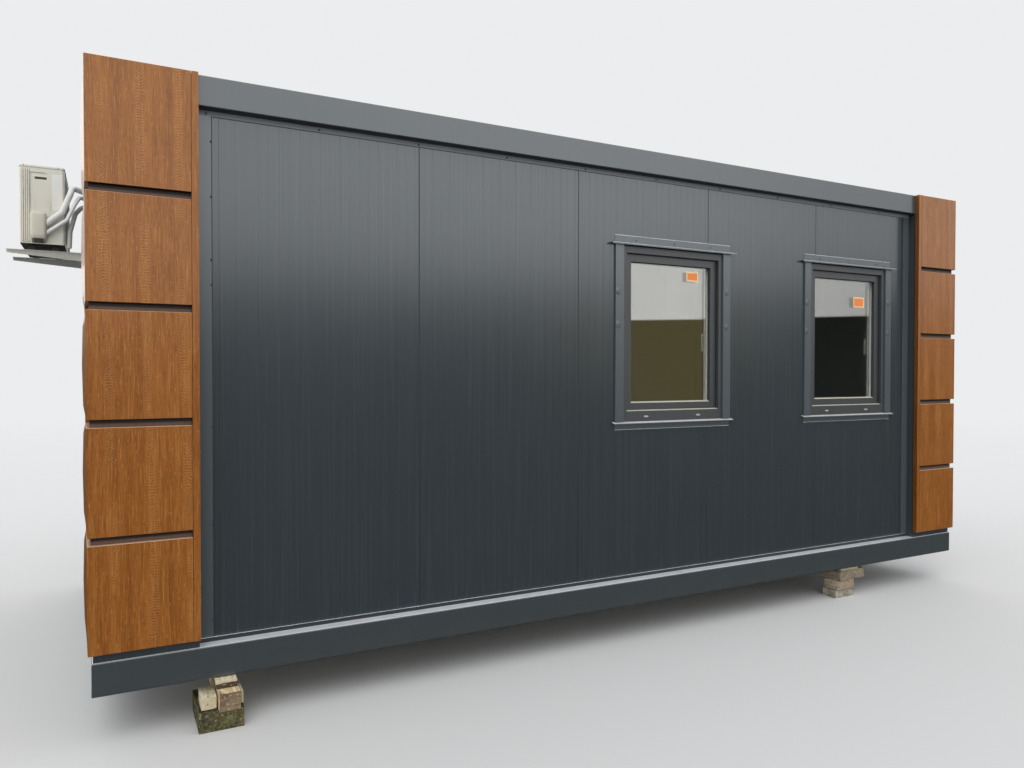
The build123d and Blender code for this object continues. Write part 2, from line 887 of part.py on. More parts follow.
# Insulated pipes and the drain hose, from the unit to a cap on the wall
cap_spot = (unit_end - 190, strip_high - wall_cap_radius - 6)
cover_back = valve_spot + valve_cover_wide / 2
cap_face = wall_setback - wall_cap_depth
pipe_u = unit_end + valve_cover_deep / 2
cap_u, cap_w = cap_spot
pipe_routes = (
    (
        (pipe_u, cover_back - 16, unit_low + 116),
        (pipe_u, cover_back + 84, unit_low + 204),
        (pipe_u, cover_back + 128, unit_low + 317),
        (pipe_u - 37, cover_back + 142, unit_low + 372),
        (cap_u + 12, wall_setback, cap_w + 18),
    ),
    (
        (pipe_u, cover_back - 16, unit_low + 56),
        (pipe_u, cover_back + 110, unit_low + 157),
        (pipe_u, cover_back + 155, unit_low + 262),
        (pipe_u - 57, cover_back + 180, unit_low + 320),
        (cap_u - 24, wall_setback, cap_w - 14),
    ),
    (
        (unit_end - 20, unit_back + 24, unit_low - 14),
        (unit_end - 20, unit_back + 29, unit_low + 92),
        (unit_end - 24, unit_back + 59, unit_low + 212),
        (unit_end - 70, unit_back + 93, unit_low + 262),
        (cap_u + 14, wall_setback, cap_w - 27),
    ),
)


def section_face(v, way):
    """Plane at depth v of the left side that faces inwards, or outwards where the way is -1."""
    frame = sides["left"]
    return Plane(frame.from_local_coords((0, v, 0)), z_dir=frame.y_dir * way)


def pipe(side, route, radius, bend):
    """A round pipe along a route of u, v and w points: straight runs, with the same bend at each turn."""
    points = [sides[side].from_local_coords(point) for point in route]
    with BuildLine():
        run = FilletPolyline(*points, radius=bend)
    for stretch in run.edges():
        start, ahead = stretch @ 0, stretch % 0
        with BuildSketch(Plane(start, z_dir=ahead)) as round_section:
            Circle(radius)
        if stretch.geom_type == GeomType.LINE:
            extrude(round_section.sketch, amount=stretch.length)
        else:
            centre = stretch.arc_center
            pivot = Axis(centre, (start - centre).cross(ahead))
            turn = math.degrees(stretch.length / bend)
            revolve(round_section.sketch, axis=pivot, revolution_arc=turn)


with BuildPart() as unit_pipes:
    with BuildSketch(elevation("left", wall_setback)):
        with Locations(cap_spot):
            Circle(wall_cap_radius)
    extrude(amount=wall_cap_depth)
    chamfer(unit_pipes.edges().filter_by(GeomType.CIRCLE).sort_by(Axis.X)[0], 6)
    for route, radius in zip(pipe_routes, pipe_radii):
        pipe("left", route, radius, pipe_bend)
    split(bisect_by=section_face(cover_back, 1), keep=Keep.TOP)
    split(bisect_by=section_face(wall_setback, -1), keep=Keep.TOP)
save(unit_pipes, "unit_pipes")

# Stacks: concrete blocks and pads with timbers across them
stack_rows = ((1, front_face), (-1, back_face))
left_stack = left_end + stack_left
right_stack = left_end + stack_right
upper_high = stand_height - block_high - timber_high - packer_high
top_high = stand_height - pad_high - 2 * cross_high


def stack_box(centre, row, inward, size):
    """A rectangle on the ground plan: its middle along X, and how far it lies in from the face."""
    sign, face = row
    with Locations((centre, face + sign * (inward + size[1] / 2))):
        Rectangle(*size)


with BuildPart() as stack_blocks:
    with BuildSketch(Plane.XY):
        for row in stack_rows:
            stack_box(left_stack, row, block_setback, (block_wide, block_deep))
    extrude(amount=block_high)
    with BuildSketch(Plane.XY):
        for row in stack_rows:
            stack_box(right_stack, row, right_setback + 5, (pad_wide, pad_deep))
    extrude(amount=pad_high)
save(stack_blocks, "stack_blocks")

with BuildPart() as stack_timbers_low:
    with BuildSketch(Plane.XY.offset(block_high)):
        for row in stack_rows:
            stack_box(left_stack + 31, row, timber_setback, (timber_wide, timber_long))
    extrude(amount=timber_high)
    with BuildSketch(Plane.XY.offset(pad_high)):
        for row in stack_rows:
            stack_box(right_stack - 1, row, right_setback - 5, (pad_wide - 18, cross_wide))
    extrude(amount=cross_high)
save(stack_timbers_low, "stack_timbers_low")

with BuildPart() as stack_timbers_high:
    with BuildSketch(Plane.XY.offset(block_high + timber_high)):
        for row in stack_rows:
            stack_box(left_stack + 23, row, upper_setback, (upper_wide, upper_long))
    extrude(amount=upper_high)
    with BuildSketch(Plane.XY.offset(pad_high + cross_high)):
        for row in stack_rows:
            stack_box(right_stack - 22, row, right_setback - 20, (120, cross_long))
            stack_box(right_stack + 118, row, right_setback - 10, (140, cross_long))
    extrude(amount=cross_high)
save(stack_timbers_high, "stack_timbers_high")

with BuildPart() as stack_packers:
    with BuildSketch(Plane.XY.offset(stand_height - packer_high)):
        for row in stack_rows:
            stack_box(left_stack + 23, row, upper_setback - 3, (upper_wide + 3, packer_long))
    extrude(amount=packer_high)
    with BuildSketch(Plane.XY.offset(stand_height - top_high)):
        for row in stack_rows:
            stack_box(right_stack + 18, row, right_setback - 25, (pad_wide, cross_wide))
    extrude(amount=top_high)
    with BuildSketch(Plane.XY.offset(block_high)):
        for row in stack_rows:
            stack_box(left_stack - 54, row, block_setback + 4, (offcut, offcut * 2))
            stack_box(left_stack + 92, row, block_setback + 12, (edge_board, edge_board_long))
    extrude(amount=offcut_high)
save(stack_packers, "stack_packers")
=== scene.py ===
import json
import math

import bpy
from mathutils import Matrix, Vector


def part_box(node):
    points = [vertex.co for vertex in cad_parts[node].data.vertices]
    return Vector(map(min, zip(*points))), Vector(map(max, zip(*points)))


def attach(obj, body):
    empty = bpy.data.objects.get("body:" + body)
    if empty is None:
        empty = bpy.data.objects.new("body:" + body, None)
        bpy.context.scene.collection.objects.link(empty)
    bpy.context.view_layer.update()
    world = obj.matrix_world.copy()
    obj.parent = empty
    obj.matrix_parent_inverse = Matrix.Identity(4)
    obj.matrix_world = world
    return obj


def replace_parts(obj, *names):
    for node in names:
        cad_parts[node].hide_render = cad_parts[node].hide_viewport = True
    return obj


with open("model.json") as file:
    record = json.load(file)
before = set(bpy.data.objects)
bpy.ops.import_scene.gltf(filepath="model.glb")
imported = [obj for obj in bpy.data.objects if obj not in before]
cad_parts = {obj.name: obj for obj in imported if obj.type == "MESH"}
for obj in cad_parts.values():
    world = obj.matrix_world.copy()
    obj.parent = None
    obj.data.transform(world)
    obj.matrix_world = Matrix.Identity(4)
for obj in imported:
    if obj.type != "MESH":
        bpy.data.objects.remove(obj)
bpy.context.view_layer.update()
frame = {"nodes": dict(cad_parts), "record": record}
nodes = frame["nodes"]

# The sides of the cabin. A place on a side is u mm along it, v mm in from the
# frame's face and w mm above the frame's underside.

left_end, front_face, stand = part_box("base_beam_front")[0]
right_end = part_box("base_beam_right")[1].x
back_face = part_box("base_beam_back")[1].y
cabin_length = (right_end - left_end) * 1000
cabin_width = (back_face - front_face) * 1000

# How long each side is, and where things are on it, in the same millimetres.
runs = {
    "front": cabin_length,
    "back": cabin_length,
    "left": cabin_width,
    "right": cabin_width,
}
cover_width = 1000
first_seam = 539
rib_pair = 100
rib_start = 556
rib_margin = 512
rib_half = 3.6
beam_joint = 630
beam_top = 150
wall_face = 68
wall_inside = 127
wall_foot = 171
wall_head = 2605
casing_edge = 443
window_centres = (3261, 4883)
window_trim_half = 461
window_top = 2257
window_sill = 1065
door_centre = 2039
door_half = 553
door_head = 2312
trim_face = 56


def at(side, u, v, w):
    """The point of the cabin at a place on one of its sides, in metres."""
    u, v, w = u / 1000, v / 1000, stand + w / 1000
    if side == "front":
        return Vector((left_end + u, front_face + v, w))
    if side == "right":
        return Vector((right_end - v, front_face + u, w))
    if side == "back":
        return Vector((right_end - u, back_face - v, w))
    return Vector((left_end + v, back_face - u, w))


outward = {
    "front": Vector((0, -1, 0)),
    "right": Vector((1, 0, 0)),
    "back": Vector((0, 1, 0)),
    "left": Vector((-1, 0, 0)),
}
quarter_turns = {"front": 0, "right": 1, "back": 2, "left": 3}


# Finishes


def tone(red, green, blue):
    """A colour as it is read off a swatch, 0 to 255, in the shader's linear values."""
    shares = (value / 255 for value in (red, green, blue))
    return tuple(
        share / 12.92 if share <= 0.04045 else ((share + 0.055) / 1.055) ** 2.4
        for share in shares
    )


class Level:
    """A value in a finish's nodes that sums and products can be made with."""

    def __init__(self, finish, socket):
        self.finish = finish
        self.socket = socket

    def maths(self, operation, *terms):
        inputs = dict(enumerate(terms))
        return self.finish.node("Math", {"operation": operation}, inputs)

    def __add__(self, other):
        return self.maths("ADD", self, other)

    def __sub__(self, other):
        return self.maths("SUBTRACT", self, other)

    def __rsub__(self, other):
        return self.maths("SUBTRACT", other, self)

    def __mul__(self, other):
        return self.maths("MULTIPLY", self, other)

    def __truediv__(self, other):
        return self.maths("DIVIDE", self, other)

    def __lt__(self, other):
        return self.maths("LESS_THAN", self, other)

    def __gt__(self, other):
        return self.maths("GREATER_THAN", self, other)

    def __abs__(self):
        return self.maths("ABSOLUTE", self)

    def part(self):
        return self.maths("FRACT", self)

    def whole(self):
        return self.maths("FLOOR", self)

    def ease(self, low, high):
        """0 below low, 1 above high and smooth between them."""
        settings = {"interpolation_type": "SMOOTHSTEP"}
        inputs = {"Value": self, "From Min": low, "From Max": high}
        return self.finish.node("MapRange", settings, inputs)


class Finish:
    """A procedural finish. Every node of it is made by one method."""

    def __init__(self, name, data=None, source="Object", **constants):
        if data is None:
            data = bpy.data.materials.new(name)
            data.use_nodes = True
        self.data = data
        self.tree = data.node_tree
        self.shader = self.tree.nodes.get("Principled BSDF")
        for label, value in constants.items():
            self.shader.inputs[label.replace("_", " ")].default_value = value
        # Where a point is on its piece, in metres: as one point, and as X, Y and Z.
        # In the sky it is the way that a ray goes.
        self.place = self.node("TexCoord", (), (), source)
        self.axes = self.parts(self.place)

    def feed(self, socket, value):
        if isinstance(value, Level):
            self.tree.links.new(value.socket, socket)
        elif socket.type == "RGBA":
            socket.default_value = (*value[:3], 1.0)
        else:
            socket.default_value = value

    def node(self, kind, settings=(), inputs=(), outlet=0):
        made = self.tree.nodes.new("ShaderNode" + kind)
        for label, value in dict(settings).items():
            if label == "stops":
                stops = made.color_ramp.elements
                stops.remove(stops[1])
                stops[0].position = value[0][0]
                stops[0].color = (*value[0][1], 1.0)
                for position, colour in value[1:]:
                    stops.new(position).color = (*colour, 1.0)
            else:
                setattr(made, label, value)
        for key, value in dict(inputs).items():
            self.feed(made.inputs[key], value)
        return Level(self, made.outputs[outlet])

    def parts(self, vector):
        """A vector's X, Y and Z."""
        return [
            self.node("SeparateXYZ", (), {0: vector}, axis)
            for axis in ("X", "Y", "Z")
        ]

    def point(self, x, y, z):
        return self.node("CombineXYZ", (), {0: x, 1: y, 2: z})

    def noise(self, where, scale=1.0, detail=2.0, rough=0.5):
        """Soft noise, from 0 to 1, at a point of the finish."""
        inputs = {
            "Vector": where,
            "Scale": scale,
            "Detail": detail,
            "Roughness": rough,
        }
        return self.node("TexNoise", (), inputs)

    def mix(self, share, first, second):
        inputs = {0: share, 6: first, 7: second}
        return self.node("Mix", {"data_type": "RGBA"}, inputs, 2)

    def ramp(self, level, *stops):
        return self.node("ValToRGB", {"stops": stops}, {0: level})

    def bump(self, height, strength, depth):
        inputs = {"Height": height, "Strength": strength, "Distance": depth}
        return self.node("Bump", (), inputs)

    def facing(self):
        """The parts along X, Y and Z of the way that the surface faces."""
        return self.parts(self.node("NewGeometry", (), (), "True Normal"))

    def so_far(self, label):
        """What feeds one of the shader's sockets up to now."""
        return Level(self, self.shader.inputs[label].links[0].from_socket)

    def coat(self, colour=None, rough=None, normal=None, metal=None):
        """Links what varies over the surface to the shader."""
        levels = {
            "Base Color": colour,
            "Roughness": rough,
            "Normal": normal,
            "Metallic": metal,
        }
        for label, level in levels.items():
            if level is not None:
                self.feed(self.shader.inputs[label], level)
        return self


def dust_and_top_light(finish, colour, dust, share):
    """A colour made paler on what looks up, uneven as rain leaves it: partly a film of
    dust, partly the sky's light on the ledges painted in.
    """
    up = finish.facing()[2].ease(0.6, 0.97)
    patches = finish.noise(finish.place, 11.0, 4.0, 0.6)
    film = up * (patches.ease(0.25, 0.7) * 0.12 + 0.88) * share
    return finish.mix(film, colour, dust)


# How far the steel's gloss leans down, as its light and dark halves show on the walls.
gloss_lean = 0.0263


def coated_steel(name, colour, rough, index=1.8, film=0.9, dust=(198, 203, 208)):
    """Satin coil-coated steel, clean on its sides, with dust and painted sky light on
    its low ledges, and painted shade on the faces that look down.
    """
    finish = Finish(name, IOR=index, Specular_Tint=(0.95, 0.985, 1.02, 1.0))
    x, y, z = finish.axes
    mottle = finish.noise(finish.place, 1.7, 4.0)
    shade = finish.mix(mottle, [c * 0.95 for c in colour], [c * 1.05 for c in colour])
    streaks = finish.noise(finish.point(x * 60, y * 60, z * 0.7), 1.0, 3.0)
    shade = finish.mix(streaks.ease(0.45, 0.8) * 0.015, shade, tone(112, 118, 120))
    splash = (1 - z.ease(0.22, 0.5)) * finish.noise(finish.place, 6.0, 5.0, 0.65)
    shade = finish.mix(splash.ease(0.35, 0.7) * 0.05, shade, tone(108, 100, 86))
    # Paler on what looks up: dust, with the sky's light on the ledges painted in.
    shade = dust_and_top_light(finish, shade, tone(*dust), (1 - z.ease(2.6, 2.8) * 0.7) * film)
    # Painted shade: the faces that look down are darkened nearly to black.
    shaded_underside = (0 - finish.facing()[2]).ease(0.5, 0.9)
    shade = finish.mix(shaded_underside * 0.85, shade, tone(16, 16, 15))
    fine = finish.noise(finish.place, 900.0, 1.0)
    wear = finish.noise(finish.place, 5.0, 4.0)
    lean = {0: finish.bump(fine, 0.02, 0.0003), 1: (0.0, 0.0, -gloss_lean)}
    leaning = finish.node("VectorMath", {"operation": "ADD"}, lean)
    return finish.coat(
        shade,
        (wear - 0.5) * 0.04 + shaded_underside * 0.3 + rough,
        finish.node("VectorMath", {"operation": "NORMALIZE"}, {0: leaning}),
    )


def two_sided_panel(name):
    """Sandwich panel: anthracite coil coat outside and white coil coat in the room."""
    finish = coated_steel(name, tone(52, 59, 63), 0.205, 1.82)
    x, y, z = finish.axes
    middle = (left_end + right_end) / 2
    depth = wall_inside / 1000
    inside = (abs(x - middle) < right_end - middle - depth) * (
        abs(y) < back_face - depth
    )
    hairs = finish.noise(finish.point(x * 170, y * 170, z * 1.1), 1.0, 2.0)
    hairs = hairs.ease(0.5, 0.72) * 0.024
    outer = finish.mix(hairs, finish.so_far("Base Color"), tone(170, 175, 178))
    return finish.coat(finish.mix(inside, outer, tone(196, 197, 193)))


def casing_coat():
    """The corner casings' coat, with painted shade on the cheeks beside the wall, which
    are also duller.
    """
    finish = coated_steel("corner_casing", tone(56, 62, 66), 0.27, 1.8, 0.9)
    above_beam = finish.axes[2] > stand + 0.18
    # Painted shade on the cheeks beside the wall, above the beam.
    shaded_cheek = abs(finish.facing()[0]).ease(0.8, 0.95) * above_beam
    colour = finish.mix(shaded_cheek * 0.9, finish.so_far("Base Color"), tone(30, 34, 37))
    return finish.coat(colour, shaded_cheek * 0.35 + finish.so_far("Roughness"))


def wood_film():
    """Oak-look film on folded steel. Its grain runs upright through every tray. Its
    tops carry a painted highlight; its undersides and the right column's return carry
    painted shade.
    """
    finish = Finish(
        "wood_film",
        IOR=1.46,
        Coat_Weight=0.22,
        Coat_Roughness=0.16,
        Specular_Tint=(1.0, 0.93, 0.82, 1.0),
    )
    x, y, z = finish.axes
    around = x + y
    drift = finish.noise(finish.point(around * 1.6, 0.0, z * 0.9), 1.0, 2.0) - 0.5
    across = around / 0.155 + (z - 1.2) * 0.12 + drift * 0.35 - 0.29
    board = across.whole()
    centre = abs(across.part() - 0.5)
    lean = finish.noise(finish.point(board * 3.7, z * 2.6, 4.0), 1.0, 1.0) - 0.5
    waver = finish.noise(finish.point(around * 70, 3.0, z * 45), 1.0, 3.0, 0.6) - 0.5
    figure = (z + centre * lean * 1.3 + waver * 0.026) / 0.0125
    crests = (abs(figure.part() - 0.5) * 2).ease(0.15, 0.9)
    patches = finish.noise(finish.point(board * 9.1, 0.0, z * 4.2), 1.0, 2.0)
    width = patches * 0.1 + 0.055
    band = (1 - (centre / width).ease(0.7, 1.5)) * patches.ease(0.32, 0.55)
    broad = finish.noise(finish.point(around * 24, 2.0, z * 1.1), 1.0, 3.0, 0.55)
    streaks = finish.noise(finish.point(around * 150, 0.0, z * 6.5), 1.0, 4.0, 0.65)
    dashes = finish.noise(finish.point(around * 230, 7.0, z * 22), 1.0, 2.0)
    flecks = finish.noise(finish.point(around * 210, 5.0, z * 36), 1.0, 2.0)
    colour = finish.ramp(
        broad,
        (0.28, tone(128, 71, 17)),
        (0.5, tone(144, 84, 25)),
        (0.72, tone(157, 96, 35)),
    )
    light = tone(196, 136, 74)
    dark = tone(86, 48, 12)
    colour = finish.mix((0.5 - streaks).ease(0.0, 0.2) * 0.42, colour, light)
    colour = finish.mix(streaks.ease(0.5, 0.7) * 0.4, colour, dark)
    colour = finish.mix(dashes.ease(0.54, 0.7) * 0.4, colour, tone(70, 38, 10))
    colour = finish.mix(flecks.ease(0.6, 0.74) * 0.45, colour, tone(212, 152, 90))
    colour = finish.mix(crests * band * 0.36, colour, light)
    colour = finish.mix((1 - crests) * band * 0.12, colour, dark)
    along, _, up = finish.facing()
    # Painted highlight: what looks up is lightened to cream.
    colour = finish.mix(up.ease(0.5, 0.8) * 0.8, colour, tone(232, 200, 172))
    # Painted shade: what looks down is darkened nearly to black.
    colour = finish.mix((0 - up).ease(0.5, 0.8), colour, tone(28, 17, 11))
    # Painted shade on the right column's return, which faces left.
    shaded_return = (0 - along).ease(0.8, 0.95) * (x > 0)
    colour = finish.mix(shaded_return * 0.5, colour, tone(44, 24, 8))
    rough = streaks * 0.1 + broad * 0.08 + 0.22
    relief = streaks * 0.6 - dashes.ease(0.58, 0.75) * 0.5
    return finish.coat(colour, rough, finish.bump(relief, 0.1, 0.0004))


def backing_steel():
    """Brown-grey backing plate seen in the grooves between trays, with painted shade at
    the top of each groove.
    """
    finish = Finish("backing_plate", IOR=1.5)
    x, y, z = finish.axes
    streaks = finish.noise(finish.point((x + y) * 120, 0.0, z * 6), 1.0, 3.0)
    colour = finish.mix(streaks, tone(86, 60, 46), tone(116, 86, 68))
    # Painted shade: the top of each groove, beneath the tray above, is darkened nearly
    # to black.
    tray_foot, tray_pitch = 0.19, 0.51
    height = ((z - stand - tray_foot) / tray_pitch).part()
    colour = finish.mix(height.ease(0.955, 0.975), colour, tone(26, 14, 9))
    return finish.coat(colour, streaks * 0.2 + 0.45)


def zinc(name, rough=0.38, low=(150, 154, 156), high=(186, 190, 192)):
    """Hot-dip zinc with spangle and a dull bloom."""
    finish = Finish(name)
    cells = {0: finish.place, "Scale": 70.0}
    spangle = finish.node("TexVoronoi", {"feature": "F1"}, cells)
    bloom = finish.noise(finish.place, 9.0, 4.0)
    colour = finish.mix(spangle * 1.2, tone(*low), tone(*high))
    colour = finish.mix(bloom.ease(0.45, 0.8) * 0.5, colour, tone(128, 128, 124))
    metal = 0.85 - bloom.ease(0.5, 0.9) * 0.4
    return finish.coat(colour, spangle * 0.15 + bloom * 0.2 + rough - 0.1, None, metal)


def moulded(name, colour, rough=0.42, grain=0.12, soil=0.0, shaded=1.0):
    """Moulded plastic with a fine eggshell grain, a little yellowing and painted shade
    on the faces that look down.
    """
    finish = Finish(name, IOR=1.46)
    x, y, z = finish.axes
    mottle = finish.noise(finish.place, 6.0, 4.0)
    aged = [colour[0] * 0.93, colour[1] * 0.9, colour[2] * 0.82]
    shade = finish.mix(mottle.ease(0.35, 0.75) * 0.6, colour, aged)
    if soil:
        drips = finish.noise(finish.point(x * 60, y * 60, z * 4), 1.0, 4.0)
        shade = finish.mix(drips.ease(0.55, 0.8) * soil, shade, tone(122, 112, 96))
    # Painted shade on the faces that look down, in the share that shaded gives.
    shaded_underside = (0 - finish.facing()[2]).ease(0.6, 0.9)
    shade = finish.mix(shaded_underside * shaded, shade, tone(34, 31, 27))
    fine = finish.noise(finish.place, 1400.0, 2.0)
    bump = finish.bump(fine, grain, 0.0003)
    return finish.coat(shade, mottle * 0.12 + rough - 0.06, bump)


def bracket_steel():
    """White-painted bracket steel: darker on the far arm as painted shade, and
    near-black on the feet that stand on the arms.
    """
    finish = moulded("bracket_steel", tone(232, 231, 222), 0.42, 0.05, 0.25, 0.25)
    x, y, z = finish.axes
    arm_top, arms_apart = stand + 2.1983, 0.75
    # Painted shade: the far arm is darkened.
    far = (y > arms_apart) * (z < arm_top + 0.001)
    colour = finish.mix(far * 0.6, finish.so_far("Base Color"), tone(92, 92, 82))
    # The feet that stand on the arms are near-black.
    foot = (z > arm_top) * (x < left_end)
    return finish.coat(finish.mix(foot * 0.95, colour, tone(30, 28, 25)))


def window_profile():
    """Foiled window profile: dark outside, white in the room."""
    finish = Finish("window_profile", IOR=1.55)
    x, y, z = finish.axes
    inside = y > front_face + (wall_inside + 2.5) / 1000
    mottle = finish.noise(finish.place, 3.0, 3.0)
    grain = finish.noise(finish.point(x * 240, y * 240, z * 240), 1.0, 3.0, 0.7)
    dark = finish.mix(mottle, tone(58, 61, 63), tone(66, 69, 71))
    dark = finish.mix(grain.ease(0.5, 0.8) * 0.25, dark, tone(46, 49, 52))
    # Paler on the ledges that look up: dust, with the sky's light painted in.
    dark = dust_and_top_light(finish, dark, tone(226, 222, 208), 0.85)
    colour = finish.mix(inside, dark, tone(240, 238, 230))
    rough = mottle * 0.12 + 0.3
    return finish.coat(colour, rough, finish.bump(grain, 0.12, 0.0003))


def pane_glass():
    """Clear glass with a trace of dust that dulls its gloss in places."""
    finish = Finish(
        "pane_glass",
        Transmission_Weight=1.0,
        IOR=1.74,
        Specular_Tint=(1.0, 0.985, 0.95, 1.0),
    )
    dust = finish.noise(finish.place, 3.5, 5.0, 0.6)
    colour = finish.mix(dust, (0.93, 0.95, 0.94), (0.97, 0.98, 0.97))
    return finish.coat(colour, dust.ease(0.6, 0.95) * 0.004)


def black_rubber():
    """Black rubber with a fine grain and dust in patches."""
    finish = Finish("rubber", IOR=1.45)
    dust = finish.noise(finish.place, 14.0, 4.0)
    black = (0.016, 0.017, 0.018)
    shade = finish.mix(dust.ease(0.5, 0.85) * 0.3, black, tone(88, 86, 82))
    fine = finish.noise(finish.place, 700.0, 2.0)
    return finish.coat(shade, dust * 0.2 + 0.5, finish.bump(fine, 0.2, 0.0003))


def weathered_concrete():
    """Old concrete: pitted and mossy on the left, pale and dusty on the right."""
    finish = Finish("weathered_concrete", IOR=1.45)
    place = finish.place
    right = finish.axes[0].ease(-1.0, 0.5)
    cloud = finish.noise(place, 12.0, 6.0, 0.65)
    grit = finish.noise(place, 150.0, 3.0, 0.7)
    pits = finish.node("TexVoronoi", {"feature": "F1"}, {0: place, "Scale": 90.0})
    mossy = finish.ramp(
        cloud,
        (0.34, tone(40, 36, 24)),
        (0.48, tone(74, 68, 44)),
        (0.6, tone(112, 104, 70)),
        (0.74, tone(160, 154, 124)),
    )
    moss = finish.noise(place, 26.0, 6.0, 0.7)
    mossy = finish.mix(moss.ease(0.5, 0.66) * 0.75, mossy, tone(120, 122, 52))
    pale_side = finish.ramp(
        cloud,
        (0.3, tone(126, 120, 108)),
        (0.5, tone(170, 163, 150)),
        (0.7, tone(204, 198, 184)),
    )
    colour = finish.mix(right, mossy, pale_side)
    colour = finish.mix(grit.ease(0.42, 0.75) * 0.45, colour, tone(66, 60, 46))
    colour = finish.mix((0.2 - pits).ease(0.0, 0.12) * 0.8, colour, tone(34, 31, 24))
    crust = finish.noise(place, 75.0, 5.0, 0.75)
    colour = finish.mix(crust.ease(0.54, 0.62) * 0.75, colour, tone(30, 28, 18))
    colour = finish.mix((1 - crust).ease(0.57, 0.65) * 0.7, colour, tone(178, 178, 134))
    height = cloud * 0.5 + grit * 0.35 + pits.ease(0.0, 0.25) * 0.4
    return finish.coat(colour, cloud * 0.15 + 0.75, finish.bump(height, 0.6, 0.003))


def sawn_timber(name, sides, ends, wear_tone, checked=False):
    """Sawn softwood: long grain on its sides, rings and checks on its ends."""
    finish = Finish(name, IOR=1.45)
    x, y, z = finish.axes
    place = finish.place
    end = abs(finish.facing()[1]).ease(0.6, 0.8)
    warp = finish.noise(place, 5.0, 3.0) - 0.5
    long_grain = finish.noise(
        finish.point(x * 90 + warp * 8, y * 2.5, z * 90), 1.0, 4.0, 0.6
    )
    ring_x = (x / 0.17).part() - 0.35
    ring_z = (z / 0.11).part() - 1.3
    rings = (ring_x * ring_x * 2.4 + ring_z * ring_z + warp * 0.35) * 15
    ring_lines = abs(rings.part() - 0.5) * 2
    low, middle, high = (tone(*swatch) for swatch in sides)
    side_colour = finish.ramp(long_grain, (0.32, low), (0.5, middle), (0.66, high))
    sawn = finish.noise(finish.point(x * 18, 0.0, z * 170), 1.0, 4.0, 0.65)
    end_colour = finish.mix(ring_lines, tone(*ends[0]), tone(*ends[1]))
    end_colour = finish.mix(sawn.ease(0.5, 0.64) * 0.55, end_colour, low)
    if checked:
        check = abs(z - stand + 0.158 + warp * 0.05)
        check = (1 - check.ease(0.0006, 0.0026)) * (x < 0)
        end_colour = finish.mix(check, end_colour, tone(24, 18, 12))
    colour = finish.mix(end, side_colour, end_colour)
    grey = finish.noise(place, 9.0, 5.0, 0.6)
    right = x.ease(-1.0, 0.5)
    bleached = finish.mix(long_grain, tone(98, 84, 66), tone(206, 196, 178))
    bleached = finish.mix(end * sawn.ease(0.4, 0.6), bleached, tone(176, 156, 128))
    colour = finish.mix(right * 0.7, colour, bleached)
    colour = finish.mix(grey.ease(0.4, 0.75) * 0.4, colour, tone(*wear_tone))
    blots = finish.noise(place, 60.0, 5.0, 0.75)
    colour = finish.mix(blots.ease(0.55, 0.66) * 0.75, colour, tone(52, 42, 26))
    colour = finish.mix((1 - blots).ease(0.56, 0.68) * 0.6, colour, tone(238, 226, 196))
    height = finish.mix(end, long_grain, ring_lines)
    rough = grey * 0.15 + 0.68
    return finish.coat(colour, rough, finish.bump(height, 0.45, 0.0016))


def floor_board():
    """Cement-bonded floor board, faintly speckled."""
    finish = Finish("floor_board", IOR=1.45)
    fleck = finish.noise(finish.place, 130.0, 4.0, 0.7)
    cloud = finish.noise(finish.place, 3.0, 4.0)
    colour = finish.mix(fleck, tone(132, 126, 116), tone(164, 158, 146))
    colour = finish.mix(cloud.ease(0.4, 0.8) * 0.3, colour, tone(110, 104, 94))
    return finish.coat(colour, cloud * 0.1 + 0.6, finish.bump(fleck, 0.2, 0.0006))


def pipe_foam():
    """White-wrapped foam, creased, with painted shade on the faces that look down, and
    a grey drain hose run that carries painted shade too.
    """
    finish = Finish("pipe_foam", IOR=1.46)
    x, y, z = finish.axes
    crease = finish.noise(finish.point(x * 60, y * 60, z * 60), 1.0, 4.0, 0.65)
    cloud = finish.noise(finish.place, 12.0, 4.0)
    colour = finish.mix(cloud, tone(236, 236, 230), tone(250, 250, 246))
    # Painted shade on the faces that look down.
    shaded_underside = (0 - finish.facing()[2]).ease(0.2, 0.9)
    colour = finish.mix(shaded_underside * cloud * 0.4, colour, tone(160, 154, 142))
    # The run down behind the unit: a grey drain hose, made darker with painted shade as
    # well.
    drain_side, drain_top = 0.425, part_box("unit_casing")[0].z + 0.262
    drain = (y > drain_side) * (z < drain_top)
    colour = finish.mix(drain * 0.65, colour, tone(150, 148, 132))
    return finish.coat(colour, cloud * 0.15 + 0.45, finish.bump(crease, 0.35, 0.002))


